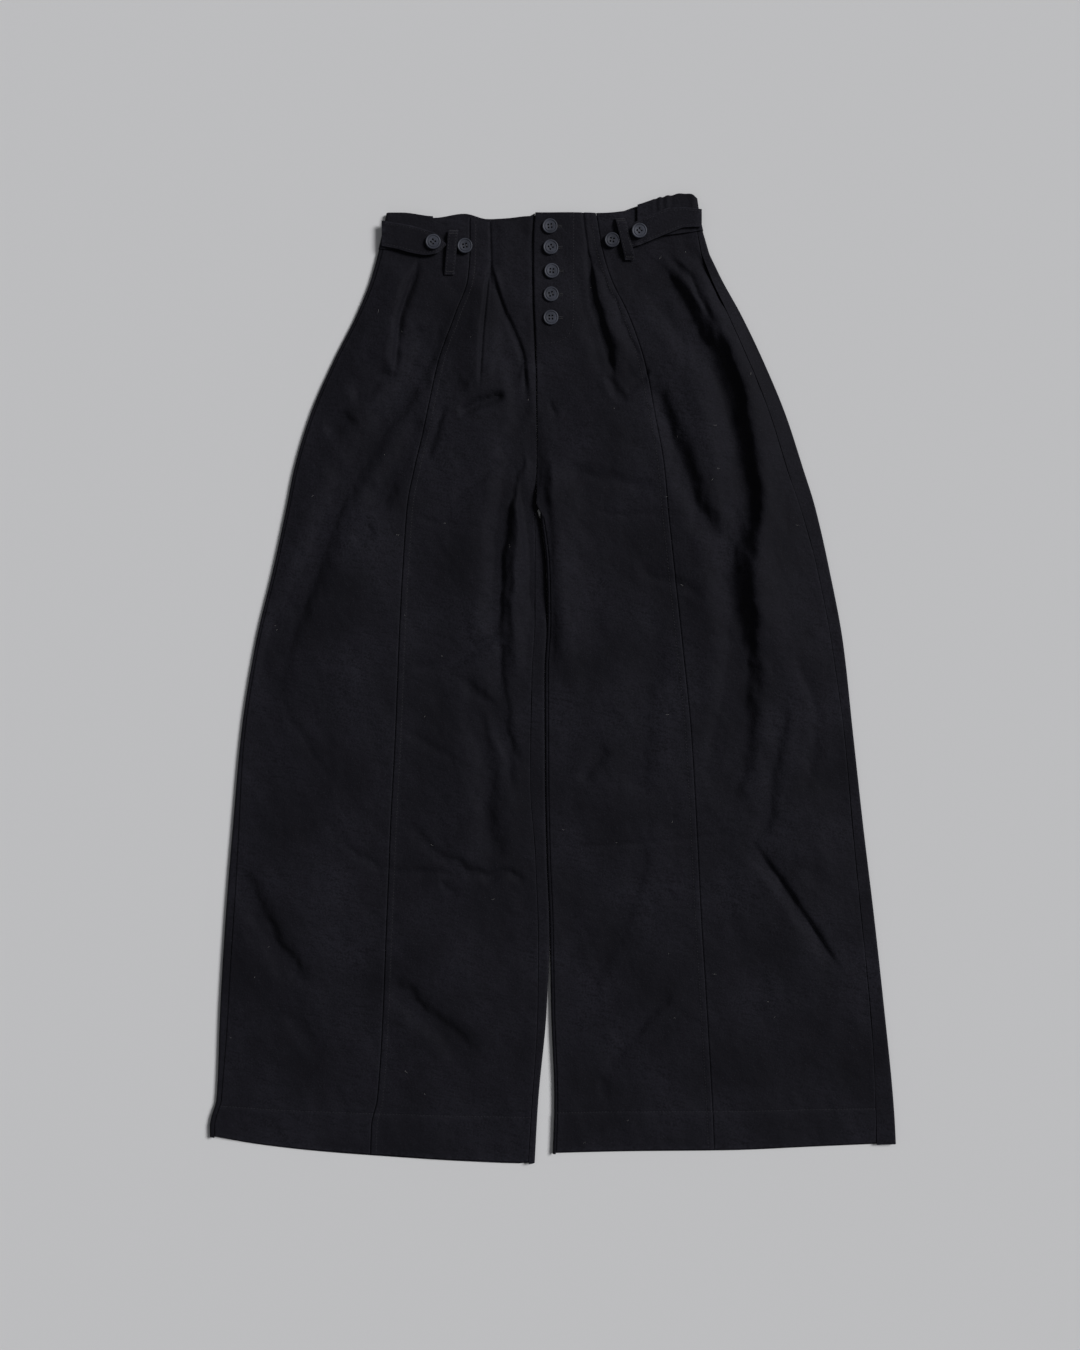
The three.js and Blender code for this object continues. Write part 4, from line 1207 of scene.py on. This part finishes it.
def tab_outline(rows, inset, square_end):
    low, high = lines_through(rows, "x")
    first, last = rows[0]["x"], rows[-1]["x"]
    upper = [(x, float(high(x)) - inset) for x in np.linspace(first + 4, last - 3, 24)]
    lower = [(x, float(low(x)) + inset) for x in np.linspace(first + 4, last - 3, 24)]
    return [upper, lower] if square_end else [upper + lower[::-1]]


FROM_SEAM = 6.5
FROM_TAB_EDGE = 2.7
FROM_LOOP_MIDDLE = 3.7
down_front = np.arange(498, -528, -6.0)
lines = {
    "princess_seams": [
        [(float(princess_r(y)) + FROM_SEAM, y) for y in down_front],
        [(float(princess_l(y)) - FROM_SEAM, y) for y in down_front],
    ],
    "hems": [
        level_line(waist_front, hem_r, LEVEL["stitch"], np.linspace(-364, -22, 60)),
        level_line(waist_front, hem_l, LEVEL["stitch"], np.linspace(5, 353, 60)),
    ],
    "fly": [[(23, 507), (23, 470), (23, 430), (23, 395), (21.5, 384),
             (17, 376), (11, 371.5), (3, 369), (-15, 367.8)]],
    "tabs": tab_outline(TAB_R, FROM_TAB_EDGE, False) + tab_outline(TAB_L, FROM_TAB_EDGE, True),
    "loops": [
        [(on_loop(row, t)[0] + side, on_loop(row, t)[1]) for t in (0.01, 0.5, 0.99)]
        for row in LOOPS
        for side in (-FROM_LOOP_MIDDLE, FROM_LOOP_MIDDLE)
    ],
}
chance = random.Random(5)
lint = []
for _ in range(46):
    y = chance.uniform(-520, 480)
    x = chance.uniform(float(outer_r(y)) + 12, float(outer_l(y)) - 12)
    turn = chance.uniform(0, math.pi)
    reach = chance.uniform(0.4, 1.6)
    bend = chance.uniform(-0.5, 0.5)
    lint.append([(x - reach * math.cos(turn), y - reach * math.sin(turn)),
                 (x - bend * math.sin(turn), y + bend * math.cos(turn)),
                 (x + reach * math.cos(turn), y + reach * math.sin(turn))])
print({name: len(runs) for name, runs in lines.items()}, "and", len(lint), "specks of lint")

# %% Sew the lines
thread_material = bpy.data.materials.new("black_thread")
lint_material = bpy.data.materials.new("pale_lint")


def sew(name, runs, thread=thread_material, **size):
    """Sews along lines given in millimetres. Sizes that aren't given are those of STITCH."""
    points, edges = [], []
    for run in runs:
        placed = line_on_cloth(run)
        start = len(points)
        points += placed
        edges += [(start + i, start + i + 1) for i in range(len(placed) - 1)]
    mesh = bpy.data.meshes.new(name)
    mesh.from_pydata(points, edges, [])
    guide = new_object(name + "_guide", mesh)
    sewing = guide.modifiers.new("sewing", "NODES")
    sewing.node_group = sewing_tree
    wanted = {measure.title(): value * MM for measure, value in {**STITCH, **size}.items()}
    wanted["Thread"] = thread
    for item in sewing_tree.interface.items_tree:
        if item.in_out == "INPUT" and item.name in wanted:
            sewing[item.identifier] = wanted[item.name]
    stitches = new_object(name + "_stitching", evaluated_mesh(guide, name + "_stitching"))
    bpy.data.objects.remove(guide)
    stitches.data.shade_smooth()
    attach(stitches, "root")
    print(stitches.name, len(stitches.data.polygons), "faces")
    return stitches


stitch_pieces = [sew(name, runs) for name, runs in lines.items()]
BUTTONHOLE = dict(start=6.5, end=12.5, aside=0.9)
buttonholes = []
for row in BUTTONS[:5]:
    for y in (row["y"] - BUTTONHOLE["aside"], row["y"] + BUTTONHOLE["aside"]):
        buttonholes.append([(row["x"] + BUTTONHOLE["start"], y), (row["x"] + BUTTONHOLE["end"], y)])
stitch_pieces.append(sew("buttonholes", buttonholes, pitch=0.7, length=0.9, width=1.1))
tacks = []
for row in LOOPS:
    for t in (0.03, 0.09, 0.94):
        x, y = on_loop(row, t)
        tacks.append([(x - 4, y), (x + 4, y)])
stitch_pieces.append(sew("loop_tacks", tacks, pitch=0.9, length=1.1, width=0.9))
lint_pieces = [sew("lint", lint, lint_material, pitch=0.35, length=0.6, width=0.16)]

# %% [markdown]
# The cloth is a black cotton twill with a faint blue cast. What the eye reads as twill is fine
# slanting ribs, some cloudiness in the dye, and edges rubbed paler where the seams stand proud. The
# ribs and the fuzz are bump, because they are far finer than the mesh. The worn edges come from the
# wear value that the panels carry, so they follow the seams.

# %% What the materials are built from
def node_material(name):
    material = bpy.data.materials.get(name) or bpy.data.materials.new(name)
    material.use_nodes = True
    nodes = material.node_tree.nodes
    nodes.clear()
    shader = nodes.new("ShaderNodeBsdfPrincipled")
    output = nodes.new("ShaderNodeOutputMaterial")
    material.node_tree.links.new(shader.outputs["BSDF"], output.inputs["Surface"])
    return material, material.node_tree, shader


def object_place(tree):
    """The spot on the object, in metres, which every pattern is laid out by."""
    return tree.nodes.new("ShaderNodeTexCoord").outputs["Object"]


def noise_node(tree, vector, scale, detail=2.0):
    node = tree.nodes.new("ShaderNodeTexNoise")
    node.inputs["Scale"].default_value = scale
    node.inputs["Detail"].default_value = detail
    tree.links.new(vector, node.inputs["Vector"])
    return node.outputs["Fac"]


def mixed_colour(tree, share, a, b):
    """Mixes two colours, or a colour with what another mix gives."""
    node = tree.nodes.new("ShaderNodeMix")
    node.data_type = "RGBA"
    tree.links.new(share, node.inputs["Factor"])
    for value, socket in ((a, node.inputs[6]), (b, node.inputs[7])):
        if isinstance(value, bpy.types.NodeSocket):
            tree.links.new(value, socket)
        else:
            socket.default_value = (*value, 1)
    return node.outputs[2]


def shared(tree, value, low, high):
    """Stretches the part of a pattern between low and high to run from 0 to 1."""
    node = tree.nodes.new("ShaderNodeMapRange")
    node.inputs["From Min"].default_value = low
    node.inputs["From Max"].default_value = high
    tree.links.new(value, node.inputs["Value"])
    return node.outputs["Result"]


def bumped(tree, height, strength, distance, under=None):
    node = tree.nodes.new("ShaderNodeBump")
    node.inputs["Strength"].default_value = strength
    node.inputs["Distance"].default_value = distance
    tree.links.new(height, node.inputs["Height"])
    if under is not None:
        tree.links.new(under, node.inputs["Normal"])
    return node.outputs["Normal"]


# %% The twill
TWILL = dict(pitch=1.1, slant=62, streak=-14, dark=(0.0046, 0.0044, 0.0068),
             pale=(0.0108, 0.0104, 0.0152), rubbed=(0.0185, 0.0180, 0.0250))
WAVE_PERIOD = 2 * math.pi / 20


def twill_material():
    material, tree, shader = node_material("black_twill")
    place = object_place(tree)
    turned = tree.nodes.new("ShaderNodeMapping")
    turned.inputs["Rotation"].default_value[2] = math.radians(TWILL["slant"])
    tree.links.new(place, turned.inputs["Vector"])
    ribs = tree.nodes.new("ShaderNodeTexWave")
    ribs.inputs["Scale"].default_value = WAVE_PERIOD / (TWILL["pitch"] * MM)
    ribs.inputs["Distortion"].default_value = 0.6
    tree.links.new(turned.outputs["Vector"], ribs.inputs["Vector"])
    stretched = tree.nodes.new("ShaderNodeMapping")
    stretched.vector_type = "TEXTURE"
    stretched.inputs["Rotation"].default_value[2] = math.radians(TWILL["streak"])
    stretched.inputs["Scale"].default_value = (6, 1, 1)
    tree.links.new(place, stretched.inputs["Vector"])
    clouds = shared(tree, noise_node(tree, place, 11, 5), 0.35, 0.68)
    streaks = shared(tree, noise_node(tree, stretched.outputs["Vector"], 340, 3), 0.36, 0.74)
    grain = shared(tree, noise_node(tree, place, 480, 3), 0.42, 0.60)
    fuzz = noise_node(tree, place, 800, 2)
    crumple = noise_node(tree, place, 60, 3)
    dye = mixed_colour(tree, clouds, TWILL["dark"], TWILL["pale"])
    streaked = mixed_colour(tree, streaks, mixed_colour(tree, grain, TWILL["dark"], dye), dye)
    flecked = mixed_colour(tree, shared(tree, fuzz, 0.60, 0.86), streaked, TWILL["rubbed"])
    wear = tree.nodes.new("ShaderNodeAttribute")
    wear.attribute_name = "worn"
    rub = tree.nodes.new("ShaderNodeMath")
    rub.operation = "MULTIPLY"
    tree.links.new(wear.outputs["Fac"], rub.inputs[0])
    tree.links.new(shared(tree, noise_node(tree, place, 260, 3), 0.35, 0.75), rub.inputs[1])
    colour = mixed_colour(tree, rub.outputs["Value"], flecked, TWILL["rubbed"])
    tree.links.new(colour, shader.inputs["Base Color"])
    surface_bump = bumped(tree, crumple, 0.8, 0.0016)
    streak_bump = bumped(tree, streaks, 0.4, 0.0002, bumped(tree, grain, 0.3, 0.0002, surface_bump))
    rib_bump = bumped(tree, ribs.outputs["Fac"], 0.4, 0.00018, streak_bump)
    tree.links.new(bumped(tree, fuzz, 0.35, 0.00012, rib_bump), shader.inputs["Normal"])
    shader.inputs["Roughness"].default_value = 0.8
    shader.inputs["Specular IOR Level"].default_value = 0.1
    shader.inputs["Sheen Weight"].default_value = 0.02
    shader.inputs["Sheen Roughness"].default_value = 0.4
    return material


# %% The other materials, and what wears them
def thread_finish():
    material, tree, shader = node_material("black_thread")
    place = object_place(tree)
    ply = noise_node(tree, place, 2400, 2)
    colour = mixed_colour(tree, ply, (0.006, 0.006, 0.008), (0.016, 0.015, 0.020))
    tree.links.new(colour, shader.inputs["Base Color"])
    tree.links.new(bumped(tree, ply, 0.4, 0.0001), shader.inputs["Normal"])
    shader.inputs["Roughness"].default_value = 0.6
    return material


def button_material():
    material, tree, shader = node_material("dark_button_plastic")
    place = object_place(tree)
    swirl = shared(tree, noise_node(tree, place, 60, 2), 0.35, 0.7)
    colour = mixed_colour(tree, swirl, (0.018, 0.020, 0.029), (0.047, 0.051, 0.069))
    tree.links.new(colour, shader.inputs["Base Color"])
    tree.links.new(bumped(tree, noise_node(tree, place, 900, 3), 0.12, 0.0001), shader.inputs["Normal"])
    shader.inputs["Roughness"].default_value = 0.55
    shader.inputs["Specular IOR Level"].default_value = 0.3
    return material


def matte_material(name, colour, specular):
    """One even colour without shine, for the lint and the floor."""
    material, _, shader = node_material(name)
    shader.inputs["Base Color"].default_value = (*colour, 1)
    shader.inputs["Roughness"].default_value = 0.9
    shader.inputs["Specular IOR Level"].default_value = specular
    return material


def dress(pieces, material):
    for piece in pieces:
        piece.data.materials.clear()
        piece.data.materials.append(material)


twill = twill_material()
thread_finish()
dress(cloth_pieces, twill)
dress(stitch_pieces + thread_pieces, thread_material)
dress(lint_pieces, matte_material("pale_lint", (0.30, 0.29, 0.28), 0.5))
dress(button_pieces, button_material())
dress([floor], matte_material("pale_floor", (0.62, 0.62, 0.63), 0.2))
print("materials:", sorted(m.name for m in bpy.data.materials))

# %% [markdown]
# The light is that of a plain studio: a dim pale surround, one large soft light from the upper right
# that gives every fold a lit side and a dark side, and a weak one opposite it. The camera looks
# straight down from 1.6 m, so the trousers fill the frame as a person standing over them sees them.

# %% Light and camera
def distant_light(name, direction, softness, strength):
    """A light that falls evenly from one direction, as from a large window far off."""
    data = bpy.data.lights.new(name, "SUN")
    data.angle = math.radians(softness)
    data.energy = strength
    light = new_object(name, data)
    light.rotation_euler = (-Vector(direction)).to_track_quat("-Z", "Y").to_euler()
    return light


distant_light("key_light", (0.85, 0.4, 0.8), 22, 3.2)
distant_light("fill_light", (-0.5, -0.6, 1.0), 60, 0.12)
world = bpy.data.worlds.new("studio")
world.use_nodes = True
world.node_tree.nodes["Background"].inputs["Color"].default_value = (0.95, 0.97, 1, 1)
world.node_tree.nodes["Background"].inputs["Strength"].default_value = 0.13
bpy.context.scene.world = world
bpy.context.scene.view_settings.view_transform = "Standard"

CAMERA = dict(high=1.6, x=-0.0138, y=0.0044, frame=1.485, film=36)
lens = bpy.data.cameras.new("camera")
lens.sensor_fit = "VERTICAL"
lens.sensor_height = CAMERA["film"]
lens.lens = CAMERA["film"] * CAMERA["high"] / CAMERA["frame"]
camera = new_object("camera", lens)
camera.location = (CAMERA["x"], CAMERA["y"], CAMERA["high"])
bpy.context.scene.camera = camera
print("the lens is", round(lens.lens, 1), "mm")
